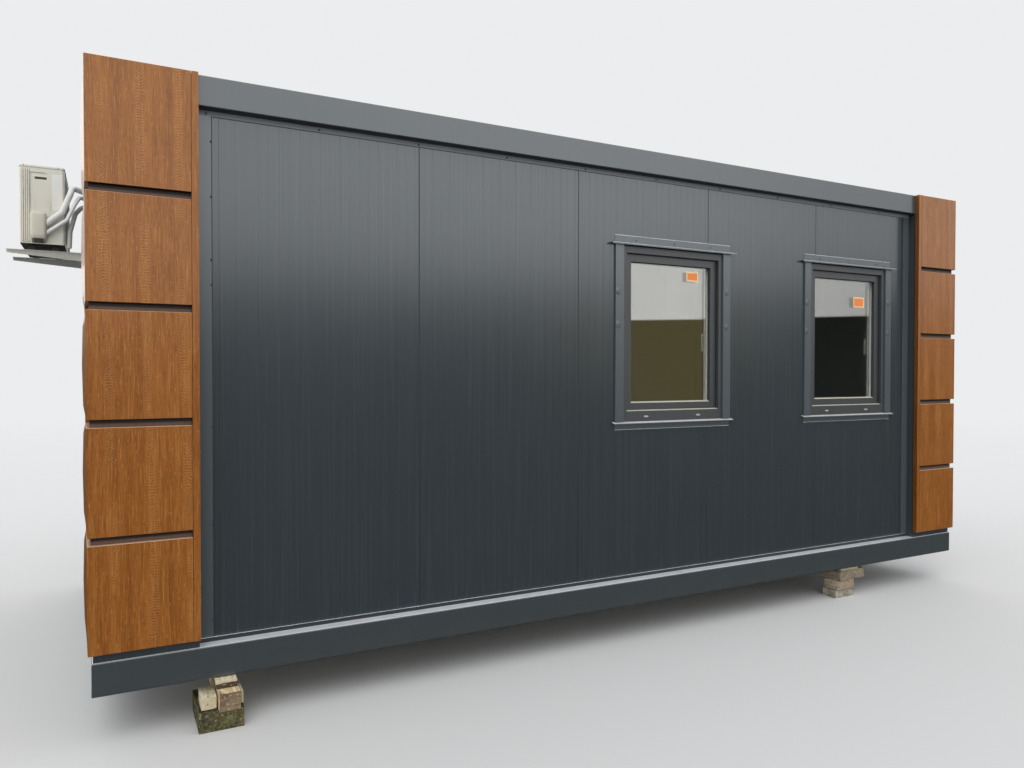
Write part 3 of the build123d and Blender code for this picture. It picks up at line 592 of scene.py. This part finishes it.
finishes = {
    # The pale top colour is dust, with the sky's light on the beams' ledges painted in.
    "frame_paint": coated_steel(
        "frame_paint", tone(63, 69, 72), 0.25, 1.84, 0.97, (230, 233, 236)
    ),
    "panel_coat": two_sided_panel("panel_coat"),
    # A lighter coat for the ribs' crests, as a painted highlight; no piece uses it.
    "rib_coat": coated_steel("rib_crests", tone(60, 67, 71), 0.22, 1.85, 0.0),
    "seam_coat": coated_steel("seam_filling", tone(40, 46, 49), 0.4, 1.5, 0.0),
    "head_coat": coated_steel("head_flashing", tone(104, 109, 112), 0.35, 1.6, 0.5),
    "foot_coat": coated_steel("foot_flashing", tone(34, 39, 42), 0.4, 1.5, 0.95),
    "casing_coat": casing_coat(),
    # The pale top colour is dust, with the sky's light on the sills and drips painted
    # in.
    "trim_coat": coated_steel(
        "trim_coat", tone(78, 85, 89), 0.25, 1.8, 0.95, (228, 228, 224)
    ),
    "roof_coat": coated_steel(
        "roof_coat", tone(96, 100, 102), 0.42, 1.5, 0.45, (150, 148, 142)
    ),
    "wood_look": wood_film(),
    "backing": backing_steel(),
    "galvanised": zinc("galvanised"),
    "lit_cut_edge": zinc("lit_cut_edge", 0.45, (196, 200, 202), (224, 227, 229)),
    "deck_board": floor_board(),
    "window_profile": window_profile(),
    "glazing": pane_glass(),
    "white_plastic": moulded("white_plastic", tone(238, 237, 230)),
    "door_paint": coated_steel("door_paint", tone(60, 66, 68), 0.33, 1.7, 0.6),
    "door_metal": zinc("door_metal", 0.3),
    "unit_shell": moulded("unit_shell", tone(226, 222, 208), 0.4, 0.08, 0.25),
    "unit_plastic": moulded("unit_plastic", tone(218, 213, 198), 0.45, 0.14, 0.2),
    "unit_dark": moulded("unit_dark", tone(52, 50, 46), 0.5, 0.14),
    "bracket_steel": bracket_steel(),
    "pipe_wrap": pipe_foam(),
    "cap_grey": moulded("cap_grey", tone(176, 179, 181), 0.45, 0.1, 0.2),
    "concrete": weathered_concrete(),
    "timber": sawn_timber(
        "aged_timber",
        ((176, 148, 104), (230, 206, 160), (250, 236, 204)),
        ((82, 62, 48), (126, 100, 80)),
        (186, 168, 132),
        True,
    ),
    "pale_timber": sawn_timber(
        "pale_timber",
        ((186, 174, 142), (226, 214, 182), (246, 238, 214)),
        ((186, 170, 136), (232, 218, 186)),
        (168, 166, 140),
    ),
    "dark_timber": sawn_timber(
        "dark_timber",
        ((84, 64, 44), (122, 98, 70), (150, 124, 92)),
        ((58, 44, 32), (92, 72, 54)),
        (92, 80, 64),
    ),
    "rubber": black_rubber(),
    "sticker": moulded("sticker_film", tone(240, 138, 70), 0.5, 0.05),
    "sticker_edge": moulded("sticker_edge", tone(250, 222, 170), 0.5, 0.05),
    # Pale cream on the rebates' sloping feet: a painted highlight for the light these
    # ledges catch.
    "lit_rebate_ledge": moulded("lit_rebate_ledge", tone(196, 193, 178), 0.5, 0.1),
}

# The parts that have another finish than their slot's plain one.
finer_finishes = {
    "top_flashings": "head_coat",
    "base_flashings": "foot_coat",
    "column_casings": "casing_coat",
}
for part in frame["record"]["subparts"]:
    node = nodes[part["node"]]
    finish = finer_finishes.get(part["node"], part["material_slot"])
    node.data.materials.clear()
    node.data.materials.append(finishes[finish].data)


# Modelling by hand


def clear():
    """Leaves edit mode and deselects everything."""
    if bpy.context.mode != "OBJECT":
        bpy.ops.object.mode_set(mode="OBJECT")
    bpy.ops.object.select_all(action="DESELECT")


def hold(piece):
    """Selects one piece alone."""
    clear()
    piece.select_set(True)
    bpy.context.view_layer.objects.active = piece


def settle(piece):
    """Puts a piece's origin at the scene's, unturned and unscaled."""
    hold(piece)
    bpy.ops.object.transform_apply(location=True, rotation=True, scale=True)
    return piece


def block(name, low, high):
    """A block between two corners, ready to be shaped."""
    clear()
    low, high = Vector(low), Vector(high)
    size = [abs(far - near) for near, far in zip(low, high)]
    bpy.ops.mesh.primitive_cube_add(size=1, location=(low + high) / 2, scale=size)
    piece = bpy.context.object
    piece.name = name
    return settle(piece)


def disc(name, centre, radius, depth, sides):
    """A short upright cylinder, ready to be shaped."""
    clear()
    bpy.ops.mesh.primitive_cylinder_add(
        vertices=sides, radius=radius, depth=depth, location=centre
    )
    piece = bpy.context.object
    piece.name = name
    return settle(piece)


def looks_up(middle, normal):
    return normal.z > 0.9


def looks_down(middle, normal):
    return normal.z < -0.9


def pick(piece, wanted, kind="FACE"):
    """Goes into edit mode with the faces or edges selected that pass a test."""
    hold(piece)
    bpy.ops.object.mode_set(mode="EDIT")
    bpy.ops.mesh.select_mode(type=kind)
    bpy.ops.mesh.select_all(action="DESELECT")
    bpy.ops.object.mode_set(mode="OBJECT")
    if kind == "FACE":
        for face in piece.data.polygons:
            face.select = wanted(face.center, face.normal)
    else:
        points = piece.data.vertices
        for edge in piece.data.edges:
            start, end = (points[index].co for index in edge.vertices)
            edge.select = wanted((start + end) / 2, (end - start).normalized())
    bpy.ops.object.mode_set(mode="EDIT")


def bevel(piece, width, segments=1, wanted=None):
    """Bevels the edges that pass a test, or all of them."""
    pick(piece, wanted or (lambda middle, along: True), "EDGE")
    bpy.ops.mesh.bevel(offset=width, segments=segments, affect="EDGES")
    bpy.ops.object.mode_set(mode="OBJECT")


def inset(piece, wanted, thickness, depth=0.0):
    """Insets the faces that pass a test, and raises or sinks them."""
    pick(piece, wanted)
    bpy.ops.mesh.inset(thickness=thickness, depth=depth)
    bpy.ops.object.mode_set(mode="OBJECT")


def drop(piece, wanted):
    """Deletes the faces that pass a test, such as one that lies on the wall."""
    pick(piece, wanted)
    bpy.ops.mesh.delete(type="FACE")
    bpy.ops.object.mode_set(mode="OBJECT")


def modify(piece, kind, **settings):
    """Adds a modifier and applies it."""
    hold(piece)
    modifier = piece.modifiers.new(kind.title(), kind)
    for label, value in settings.items():
        setattr(modifier, label, value)
    bpy.ops.object.modifier_apply(modifier=modifier.name)


def slide(piece, wanted, shift, kind="FACE"):
    """Moves the faces or edges that pass a test."""
    pick(piece, wanted, kind)
    bpy.ops.transform.translate(value=shift)
    bpy.ops.object.mode_set(mode="OBJECT")


def spread(piece, wanted, scale, centre):
    """Scales the faces that pass a test about a point."""
    pick(piece, wanted)
    bpy.ops.transform.resize(value=scale, center_override=centre)
    bpy.ops.object.mode_set(mode="OBJECT")


def soften(piece, degrees=35):
    """Shades a piece smooth, except at edges sharper than an angle."""
    hold(piece)
    bpy.ops.object.shade_smooth_by_angle(angle=math.radians(degrees))
    return piece


def join(name, pieces):
    """Makes one piece of several."""
    clear()
    for piece in pieces:
        piece.select_set(True)
    bpy.context.view_layer.objects.active = pieces[0]
    if len(pieces) > 1:
        bpy.ops.object.join()
    joined = bpy.context.view_layer.objects.active
    joined.name = name
    return settle(joined)


def repeat(name, model, placings):
    """Copies a model to each placing, and joins the copies into one piece."""
    twins = []
    for placing in placings:
        twin = model.copy()
        twin.data = model.data.copy()
        twin.matrix_world = placing
        bpy.context.scene.collection.objects.link(twin)
        twins.append(twin)
    bpy.data.objects.remove(model)
    return join(name, twins)


def placed(side, u, v, w, roll=0.0):
    """Where a model that is made facing the front, at the origin, goes on a side."""
    turn = Matrix.Rotation(quarter_turns[side] * math.pi / 2, 4, "Z")
    spin = Matrix.Rotation(roll, 4, "Y")
    return Matrix.Translation(at(side, u, v, w)) @ turn @ spin


def finish_piece(piece, finish):
    """Gives a piece its finish, and lets it ride on the cabin."""
    piece.data.materials.clear()
    piece.data.materials.append(finishes[finish].data)
    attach(piece, "root")
    return piece


# Fine ribs of the wall panels


def rib_run(side, first, last, foot, head):
    """Upright swells between two places along a side, every other one higher."""
    made = []
    for shift, rise in ((14, 0.75), (64, 0.4)):
        start = math.ceil((first - shift) / rib_pair) * rib_pair + shift
        count = math.floor((last - start) / rib_pair) + 1
        if count < 1:
            continue
        low = at(side, start - rib_half, wall_face + 0.4, foot)
        high = at(side, start + rib_half, wall_face - rise, head)
        rib = block("rib", low, high)
        way = outward[side]
        narrowed = [1 if abs(part) > 0.5 else 0.42 for part in way]
        narrowed[2] = 1
        crest = lambda middle, normal: normal.dot(way) > 0.9
        spread(rib, crest, narrowed, (low + high) / 2)
        drop(rib, lambda middle, normal: normal.dot(way) < -0.9 or abs(normal.z) > 0.9)
        modify(
            rib,
            "ARRAY",
            count=count,
            use_relative_offset=False,
            use_constant_offset=True,
            constant_offset_displace=at(side, rib_pair, 0, 0) - at(side, 0, 0, 0),
        )
        made.append(rib)
    return made


rib_stops = {side: reach - rib_margin for side, reach in runs.items()}
front_runs = []
edges = [rib_start]
for centre in window_centres:
    edges += [centre - window_trim_half - 2, centre + window_trim_half + 2]
edges.append(rib_stops["front"])
for index, (first, last) in enumerate(zip(edges, edges[1:])):
    if index % 2:
        front_runs += rib_run("front", first, last, window_top, wall_head)
        front_runs += rib_run("front", first, last, wall_foot, window_sill)
    else:
        front_runs += rib_run("front", first, last, wall_foot, wall_head)
finish_piece(join("wall_ribs_front", front_runs), "panel_coat")

hinge_side, lock_side = door_centre - door_half, door_centre + door_half
back_runs = rib_run("back", rib_start, hinge_side - 3, wall_foot, wall_head)
back_runs += rib_run("back", lock_side + 3, rib_stops["back"], wall_foot, wall_head)
back_runs += rib_run("back", hinge_side + 1, lock_side - 1, door_head, wall_head)
finish_piece(join("wall_ribs_back", back_runs), "panel_coat")

for side in ("left", "right"):
    end_runs = rib_run(side, rib_start, rib_stops[side], wall_foot, wall_head)
    finish_piece(join("wall_ribs_" + side, end_runs), "panel_coat")


# Seam fillings and dark strips along edges


def strip(side, low, high):
    """A thin bevelled strip between two places on a side."""
    piece = block("strip", at(side, *low), at(side, *high))
    bevel(piece, 0.0003)
    return piece


# The seams that a window or the door cuts, by number, and what is left of them.
seams_cut = {"front": (3, 4), "back": (1, 2)}
levels_left = {
    "front": ((wall_foot, window_sill + 35), (window_top - 53, wall_head)),
    "back": ((door_head - 12, wall_head),),
}
fillings, dark_strips = [], []
for side, reach in runs.items():
    for number in range(round(reach / cover_width) - 1):
        seam = first_seam - 0.5 + number * cover_width
        half = 0.45 if number == 0 else 2.8
        levels = ((wall_foot, wall_head),)
        if number in seams_cut.get(side, ()):
            levels = levels_left[side]
        for foot, head in levels:
            near = (seam - half, wall_face + 0.4, foot)
            fillings.append(strip(side, near, (seam + half, wall_face + 4, head)))
    for near in (506.2, reach - 509.7):
        far = (near + 3.5, wall_face + 0.3, wall_head)
        dark_strips.append(strip(side, (near, 66.2, wall_foot), far))
    # Painted shade: dark strips in the gaps beside the casings.
    for near in (440.2, reach - 441.8):
        far = (near + 1.6, 17, wall_head - 1)
        dark_strips.append(strip(side, (near, 9, wall_foot + 1), far))
    far = (reach - casing_edge - 1, 68.2, 2608.9)
    dark_strips.append(strip(side, (casing_edge + 1, 66, 2606.4), far))
# The upright joint in the front beam is filled too.
low, high = (beam_joint - 0.5, -0.3, 3), (beam_joint + 0.5, 0.4, beam_top - 3)
fillings.append(strip("front", low, high))
finish_piece(join("seam_fillings", fillings), "seam_coat")
finish_piece(join("dark_edge_strips", dark_strips), "rubber")


# Fasteners


def pan_screw(name, radius=0.0052):
    """A washer-faced screw that stands out of the front by 3 mm."""
    screw = disc(name, (0, 0, 0.0009), radius, 0.0018, 12)
    inset(screw, looks_up, radius * 0.38)
    pick(screw, looks_up)
    bpy.ops.mesh.extrude_region_move(TRANSFORM_OT_translate={"value": (0, 0, 0.002)})
    bpy.ops.object.mode_set(mode="OBJECT")
    inset(screw, looks_up, radius * 0.25, 0.0003)
    drop(screw, looks_down)
    screw.rotation_euler = (math.pi / 2, 0, 0)
    return settle(screw)


flashing_face = 66
drip_screws = []
for centre in window_centres:
    for offset in (-300, 0, 300):
        for level in (window_top - 25, window_sill + 23):
            drip_screws.append(placed("front", centre + offset, flashing_face, level))
for offset in (-360, 0, 360):
    u, w = door_centre + offset, door_head - 22
    drip_screws.append(placed("back", u, flashing_face, w))
finish_piece(repeat("flashing_screws", pan_screw("screw"), drip_screws), "trim_coat")

screw_levels = (250, 700, 1160, 1825, 1942, 2236, 2492)
screw_line, head_line, first_head_screw, head_pitch = 504, 2619, 484, 525
corner_screws = []
for side, reach in runs.items():
    for level in screw_levels:
        for u in (screw_line, reach - screw_line):
            corner_screws.append(placed(side, u, flashing_face - 1, level))
    for number in range(round(reach / 500) - 1):
        u = first_head_screw + number * head_pitch
        corner_screws.append(placed(side, u, flashing_face - 1, head_line))
corner_screws = repeat("corner_screws", pan_screw("screw", 0.0045), corner_screws)
finish_piece(corner_screws, "rubber")


def swell_screw(name):
    """A screw on the low swell that it has pushed up in the trim."""
    swell = disc(name, (0, 0, 0.0002), 0.0165, 0.0004, 24)
    for width, rise in ((0.004, 0.0013), (0.004, 0.0009), (0.003, 0.0004)):
        inset(swell, looks_up, width, rise)
    drop(swell, looks_down)
    swell.scale = (1, 1.35, 1)
    swell.rotation_euler = (math.pi / 2, 0, 0)
    settle(swell)
    return soften(join(name, [soften(swell, 80), pan_screw("head", 0.004)]), 50)


trim_screws = []
for centre in window_centres:
    for across, w in ((-443, 1912), (-443, 1708), (430, 1944), (430, 1715)):
        trim_screws.append(placed("front", centre + across, trim_face, w))
finish_piece(repeat("trim_screws", swell_screw("screw"), trim_screws), "trim_coat")


# Bare cut edges of the folded steel, with the highlights along them painted in

bare_lit_edges = []
for side, reach in runs.items():
    spans = [(casing_edge, reach - casing_edge)]
    if side == "back":
        spans = [(casing_edge, hinge_side), (lock_side, reach - casing_edge)]
    for first, last in spans:
        low, high = (first, 64.6, wall_foot - 2), (last, 67, wall_foot + 0.2)
        bare_lit_edges.append(strip(side, low, high))
for centre in window_centres:
    bare_lit_edges += [
        strip("front", (centre - half, near, foot), (centre + half, far, head))
        for half, near, far, foot, head in (
            (window_trim_half, 65.4, 67, 2253.6, 2256.4),
            (497, 37.6, 39.4, 2204.2, 2206.4),
            (window_trim_half, 65.2, 67, 1066, 1068.6),
        )
    ]
# Painted highlights on the base beams' rounded corners.
for side in runs:
    bare_lit_edges.append(strip(side, (0.4, -0.5, 2), (2.4, 1.5, beam_top - 1)))
finish_piece(join("bare_lit_edges", bare_lit_edges), "lit_cut_edge")

# Painted highlights: thin lighter strips along the bends at the side trims' outer
# edges.
fold_highlights = []
for centre in window_centres:
    for edge in (centre - window_trim_half, centre + window_trim_half - 1.2):
        low = (edge, trim_face - 0.4, 1116)
        fold_highlights.append(strip("front", low, (edge + 1.2, trim_face + 1, 2195)))
finish_piece(join("fold_highlight_lines", fold_highlights), "head_coat")


# Windows


def drain_cap(name):
    """An oval hood 32 mm wide over a drain slot, standing out of the front."""
    hood = block(name, (-0.016, -0.006, -0.0055), (0.016, 0, 0.0055))
    bevel(hood, 0.0052, 4, lambda middle, along: abs(along.y) > 0.9)
    bevel(hood, 0.0018, 2, lambda middle, along: middle.y < -0.0058)
    drop(hood, lambda middle, normal: normal.y > 0.9)
    return soften(hood)


caps = []
for centre in window_centres:
    for offset in (-223, 197):
        caps.append(placed("front", centre + offset, wall_face, 1144))
finish_piece(repeat("drain_caps", drain_cap("cap"), caps), "cap_grey")


def ring_frame(name, low, high, edge):
    """A square frame: a block whose front and back are inset and bridged through."""
    ring = block(name, low, high)
    pick(ring, lambda middle, normal: abs(normal.y) > 0.9)
    bpy.ops.mesh.inset(thickness=edge, depth=0)
    bpy.ops.mesh.bridge_edge_loops()
    bpy.ops.object.mode_set(mode="OBJECT")
    return ring


def window_ring(name, centre, half, near, far, foot, head, edge):
    """A square frame in a window, between two depths and two levels."""
    low = at("front", centre - half, near, foot)
    high = at("front", centre + half, far, head)
    return ring_frame(name, low, high, edge)


def slope(centre, half, near, far, foot, rise):
    """A bead that falls towards the front, like the foot of a rebate."""
    bead = block(
        "slope",
        at("front", centre - half, near, foot),
        at("front", centre + half, far, foot + rise),
    )
    front_top = at("front", 0, near + 1, foot + rise - 1)
    slide(
        bead,
        lambda middle, along: abs(along.x) > 0.9
        and middle.y < front_top.y
        and middle.z > front_top.z,
        (0, 0, 0.0006 - rise / 1000),
        "EDGE",
    )
    return bead


# Each ring's half width, its near and far depth, its foot and head, and its thickness.
seal_rings = (
    (370.4, 88, 92.4, 1178.6, 2153.4, 0.0055),
    (324, 110.5, 114.4, 1225, 2107, 0.006),
    (324, 137.6, 141, 1225, 2107, 0.006),
)
spacer_ring = (330, 118, 134, 1219, 2113, 0.013)
# Each slope's half width, its near and far depth, its foot and its rise.
rebate_slopes = ((320.5, 98, 113.6, 1227.8, 8.5), (369.5, 69, 87.8, 1178.8, 6.5))
pane_half, pane_foot, pane_head = 335.7, 1213.3, 2118.7
gaskets, spacers, panes, slopes = [], [], [], []
for centre in window_centres:
    gaskets += [window_ring("seal", centre, *ring) for ring in seal_rings]
    spacers.append(window_ring("spacer", centre, *spacer_ring))
    slopes += [slope(centre, *measures) for measures in rebate_slopes]
    for near, far in ((114, 118), (134, 138)):
        pane = block(
            "pane",
            at("front", centre - pane_half, near, pane_foot),
            at("front", centre + pane_half, far, pane_head),
        )
        bevel(pane, 0.0006, 1)
        panes.append(pane)
finish_piece(join("window_seals", gaskets), "rubber")
finish_piece(join("pane_spacers", spacers), "white_plastic")
finish_piece(join("rebate_feet", slopes), "lit_rebate_ledge")
sealed_panes = finish_piece(join("window_panes", panes), "glazing")
sealed_panes.visible_shadow = False
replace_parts(sealed_panes, "window_glass")

sheets, borders = [], []
for centre, left, right, foot, head in (
    (window_centres[0], 136, 235, 2009, 2071),
    (window_centres[1], 113, 229, 1905, 1981),
):
    for edge, front, store in ((0, 113.4, borders), (8, 113.0, sheets)):
        sheet = block(
            "sheet",
            at("front", centre + left + edge, front, foot + edge),
            at("front", centre + right - edge, 113.9, head - edge),
        )
        bevel(sheet, 0.004, 3, lambda middle, along: abs(along.y) > 0.9)
        store.append(sheet)
finish_piece(join("pane_stickers", sheets), "sticker")
finish_piece(join("sticker_borders", borders), "sticker_edge")


# Door

leaf_low, leaf_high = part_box("door_leaf")
seal = ring_frame(
    "door_seal",
    (leaf_low.x - 0.0035, leaf_high.y - 0.013, leaf_low.z - 0.0025),
    (leaf_high.x + 0.0035, leaf_high.y - 0.003, leaf_high.z + 0.0035),
    0.006,
)
finish_piece(seal, "rubber")
barrel = disc("barrel", (0, 0, 0.0045), 0.0085, 0.009, 24)
inset(barrel, looks_up, 0.002, 0.0008)
keyway = block("keyway", (-0.0012, -0.005, 0.009), (0.0012, 0.005, 0.0104))
bevel(keyway, 0.0005)
lock = join("door_lock", [barrel, keyway])
lock.rotation_euler = (math.pi / 2, 0, 0)
settle(lock)
leaf_v = (back_face - leaf_high.y) * 1000
lock_across, lock_level = door_centre + 395, 978
lock_places = [placed("back", lock_across, leaf_v - 8, lock_level)]
finish_piece(repeat("door_lock", lock, lock_places), "door_metal")


# Cooling unit, placed by the left side's measures. Its end with the valves is at
# unit_end, and w runs up its height.

unit_end = 1070
grip_back = 1064.8
lid_end = 1073
hood_deep = 55
hood_foot = 2228
slot_pitch = 23
fin_pitch = 12


def on_unit(u, v, w):
    return at("left", u, v, w)


hood = block(
    "valve_hood",
    on_unit(unit_end, -350, hood_foot),
    on_unit(unit_end + hood_deep, -260, 2424),
)
hood_half = on_unit(unit_end + hood_deep / 2, 0, hood_foot + 2)
slide(
    hood,
    lambda middle, along: abs(along.x) > 0.9
    and middle.z < hood_half.z
    and middle.y < hood_half.y,
    (0, 0, 0.036),
    "EDGE",
)
hood_nose = on_unit(unit_end + 20, 0, 0).y
bevel(hood, 0.02, 5, lambda middle, along: middle.y < hood_nose)
inset(hood, lambda middle, normal: normal.z < -0.7, 0.003, -0.003)
soften(hood, 40)
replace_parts(finish_piece(hood, "unit_plastic"), "unit_valve_cover")

details = {"unit_dark": [], "white_plastic": [], "unit_shell": [], "door_metal": []}


def unit_sheet(finish, low, high, edge=0.0006):
    """A thin sheet on the cooling unit, kept with the others of its finish."""
    sheet = block("sheet", on_unit(*low), on_unit(*high))
    bevel(sheet, edge, 2)
    details[finish].append(sheet)


# Painted shade: a dark sheet in the grip's recess.
unit_sheet("unit_dark", (grip_back - 0.3, -325, 2636), (grip_back + 1, -245, 2650))
low, high = (grip_back, -328, 2649), (unit_end - 0.4, -242, 2658)
unit_sheet("unit_shell", low, high, 0.0015)
unit_sheet("unit_shell", (grip_back, -328, 2424.6), (grip_back + 2.2, -242, 2430))
for left, right, foot, head in ((-232, -174, 2447, 2676), (-241, -201, 2392, 2421)):
    low, high = (unit_end - 0.2, left, foot), (unit_end + 0.5, right, head)
    unit_sheet("white_plastic", low, high)
# Painted shade: dark lines in the grooves of the ribbed edge.
for groove in range(5):
    v = -397 + groove * 11
    low, high = (unit_end - 1, v, 2206), (unit_end + 0.4, v + 1.2, 2698)
    unit_sheet("unit_dark", low, high, 0.0003)
for v in (-385, -195):
    low, high = (lid_end - 0.4, v - 4, 2711), (lid_end + 0.9, v + 4, 2719)
    unit_sheet("door_metal", low, high, 0.0012)
# Painted shade: dark sheets in the rows of slots at the two arms.
for u in (950, 540):
    for row in range(11):
        slot_foot = 2225 + row * slot_pitch
        low, high = (u - 0.5, 47, slot_foot), (u + 4.5, 56, slot_foot + 10)
        unit_sheet("unit_dark", low, high)
for number in range(58):
    u = 366 + number * fin_pitch
    fin = strip("left", (u, -163.4, 2262), (u + 1.6, -160.5, 2690))
    details["door_metal"].append(fin)
for name, finish in (
    ("unit_recess_shades", "unit_dark"),
    ("unit_plates", "white_plastic"),
    ("unit_grip", "unit_shell"),
    ("unit_fins", "door_metal"),
):
    finish_piece(join(name, details[finish]), finish)


# Stacks, roughened from their plain solids


def hewn(name, node, finish, depth, size, bite):
    """A node's solids with knocked edges and an uneven skin within the same bounds."""
    model = nodes[node]
    piece = bpy.data.objects.new(name, model.data.copy())
    piece.matrix_world = model.matrix_world
    bpy.context.scene.collection.objects.link(piece)
    settle(piece)
    everything = lambda middle, normal: True
    pick(piece, everything)
    bpy.ops.mesh.remove_doubles(threshold=0.00005)
    bpy.ops.mesh.tris_convert_to_quads()
    bpy.ops.mesh.normals_make_consistent(inside=False)
    bpy.ops.object.mode_set(mode="OBJECT")
    bevel(piece, bite, 2)
    pick(piece, everything)
    bpy.ops.mesh.subdivide(number_cuts=9)
    bpy.ops.object.mode_set(mode="OBJECT")
    skin = bpy.data.textures.new(name, "CLOUDS")
    skin.noise_scale = size
    skin.noise_depth = 3
    modify(
        piece,
        "DISPLACE",
        texture=skin,
        texture_coords="GLOBAL",
        strength=depth,
        mid_level=1.0,
    )
    spread(
        piece,
        lambda middle, normal: middle.z < depth and normal.z < -0.6,
        (1, 1, 0),
        (0, 0, 0),
    )
    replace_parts(finish_piece(soften(piece, 38), finish), node)


hewn("rough_blocks", "stack_blocks", "concrete", 0.007, 0.035, 0.004)
hewn("rough_low_timbers", "stack_timbers_low", "timber", 0.003, 0.05, 0.002)
hewn("rough_high_timbers", "stack_timbers_high", "dark_timber", 0.003, 0.05, 0.002)
hewn("rough_packers", "stack_packers", "pale_timber", 0.007, 0.05, 0.005)


# Stage, light and camera

floor_tone = tone(228, 228, 226)
pale = tone(236, 237, 238)
floor_in_gloss = tone(52, 52, 44)
fade_start, fade_end = 8, 28


def studio_floor():
    """A pale floor that fades into the backdrop and looks dark in glossy steel."""
    finish = Finish("studio_floor")
    x, y, _ = finish.axes
    mottle = finish.noise(finish.place, 0.7, 3.0)
    near = finish.mix(mottle * 0.3, floor_tone, tone(222, 222, 220))
    finish.coat(near, mottle * 0.1 + 0.8)
    finish.shader.inputs["Specular IOR Level"].default_value = 0.1
    rays = finish.node("LightPath", (), (), "Is Glossy Ray")
    reach = (x * x + y * y).ease(fade_start**2, fade_end**2)
    far = finish.node("Emission", (), {"Color": pale, "Strength": 1.0})
    low = finish.node("Emission", (), {"Color": floor_in_gloss, "Strength": 1.0})
    shader = Level(finish, finish.shader.outputs[0])
    faded = finish.node("MixShader", (), {0: reach, 1: shader, 2: far})
    shown = finish.node("MixShader", (), {0: rays, 1: faded, 2: low})
    finish.feed(finish.tree.nodes["Material Output"].inputs["Surface"], shown)
    return finish


clear()
bpy.ops.mesh.primitive_circle_add(
    vertices=96, radius=120, fill_type="NGON", location=(0, 90, 0)
)
floor = settle(bpy.context.object)
floor.name = "studio_floor"
floor.data.materials.append(studio_floor().data)

world = bpy.data.worlds.new("studio")
bpy.context.scene.world = world
world.use_nodes = True
sky = Finish("studio", world, "Generated")
across, _, up = sky.axes
camera_ray = sky.node("LightPath", (), (), "Is Camera Ray")
glossy_ray = sky.node("LightPath", (), (), "Is Glossy Ray")
# What glossy steel and glass show: a pale sky above a dark, partly warm horizon.
bright = up.ease(0.0655, 0.0685)
left_sky, middle_sky, right_sky = (
    [strength * value for value in tone(251, 251, 250)]
    for strength in (1.85, 2.02, 1.2)
)
high_tone = sky.mix(across.ease(0.1, 0.4), left_sky, middle_sky)
high_tone = sky.mix(across.ease(0.62, 0.8), high_tone, right_sky)
warm_band = (across > 0.5) * (across < 0.71)
low_tone = sky.mix(warm_band, tone(38, 40, 38), tone(140, 131, 90))
gloss = sky.mix(bright, low_tone, high_tone)
shade = sky.mix(glossy_ray, tone(236, 238, 242), gloss)
shade = sky.mix(camera_ray, shade, pale)
sky.feed(world.node_tree.nodes["Background"].inputs["Color"], shade)

clear()
bpy.ops.object.light_add(type="SUN", location=(-6, -8, 9))
lamp = bpy.context.object
lamp.data.energy = 0.7
lamp.data.angle = math.radians(40)
lamp.rotation_euler = (Vector((-0.45, -0.75, 1.0))).to_track_quat("Z", "Y").to_euler()

camera_data = bpy.data.cameras.new("camera")
camera = bpy.data.objects.new("camera", camera_data)
bpy.context.scene.collection.objects.link(camera)
camera_data.sensor_width = 36
camera_data.lens = 27.04
camera_place = Matrix.Translation((left_end + 0.0665, -5.279, stand + 1.418))
heading, dip, roll = (math.radians(degrees) for degrees in (-27.81, 0.873, 0.06))
camera.matrix_world = (
    camera_place
    @ Matrix.Rotation(heading, 4, "Z")
    @ Matrix.Rotation(math.pi / 2 - dip, 4, "X")
    @ Matrix.Rotation(roll, 4, "Z")
)
bpy.context.scene.camera = camera
bpy.context.scene.view_settings.view_transform = "Standard"
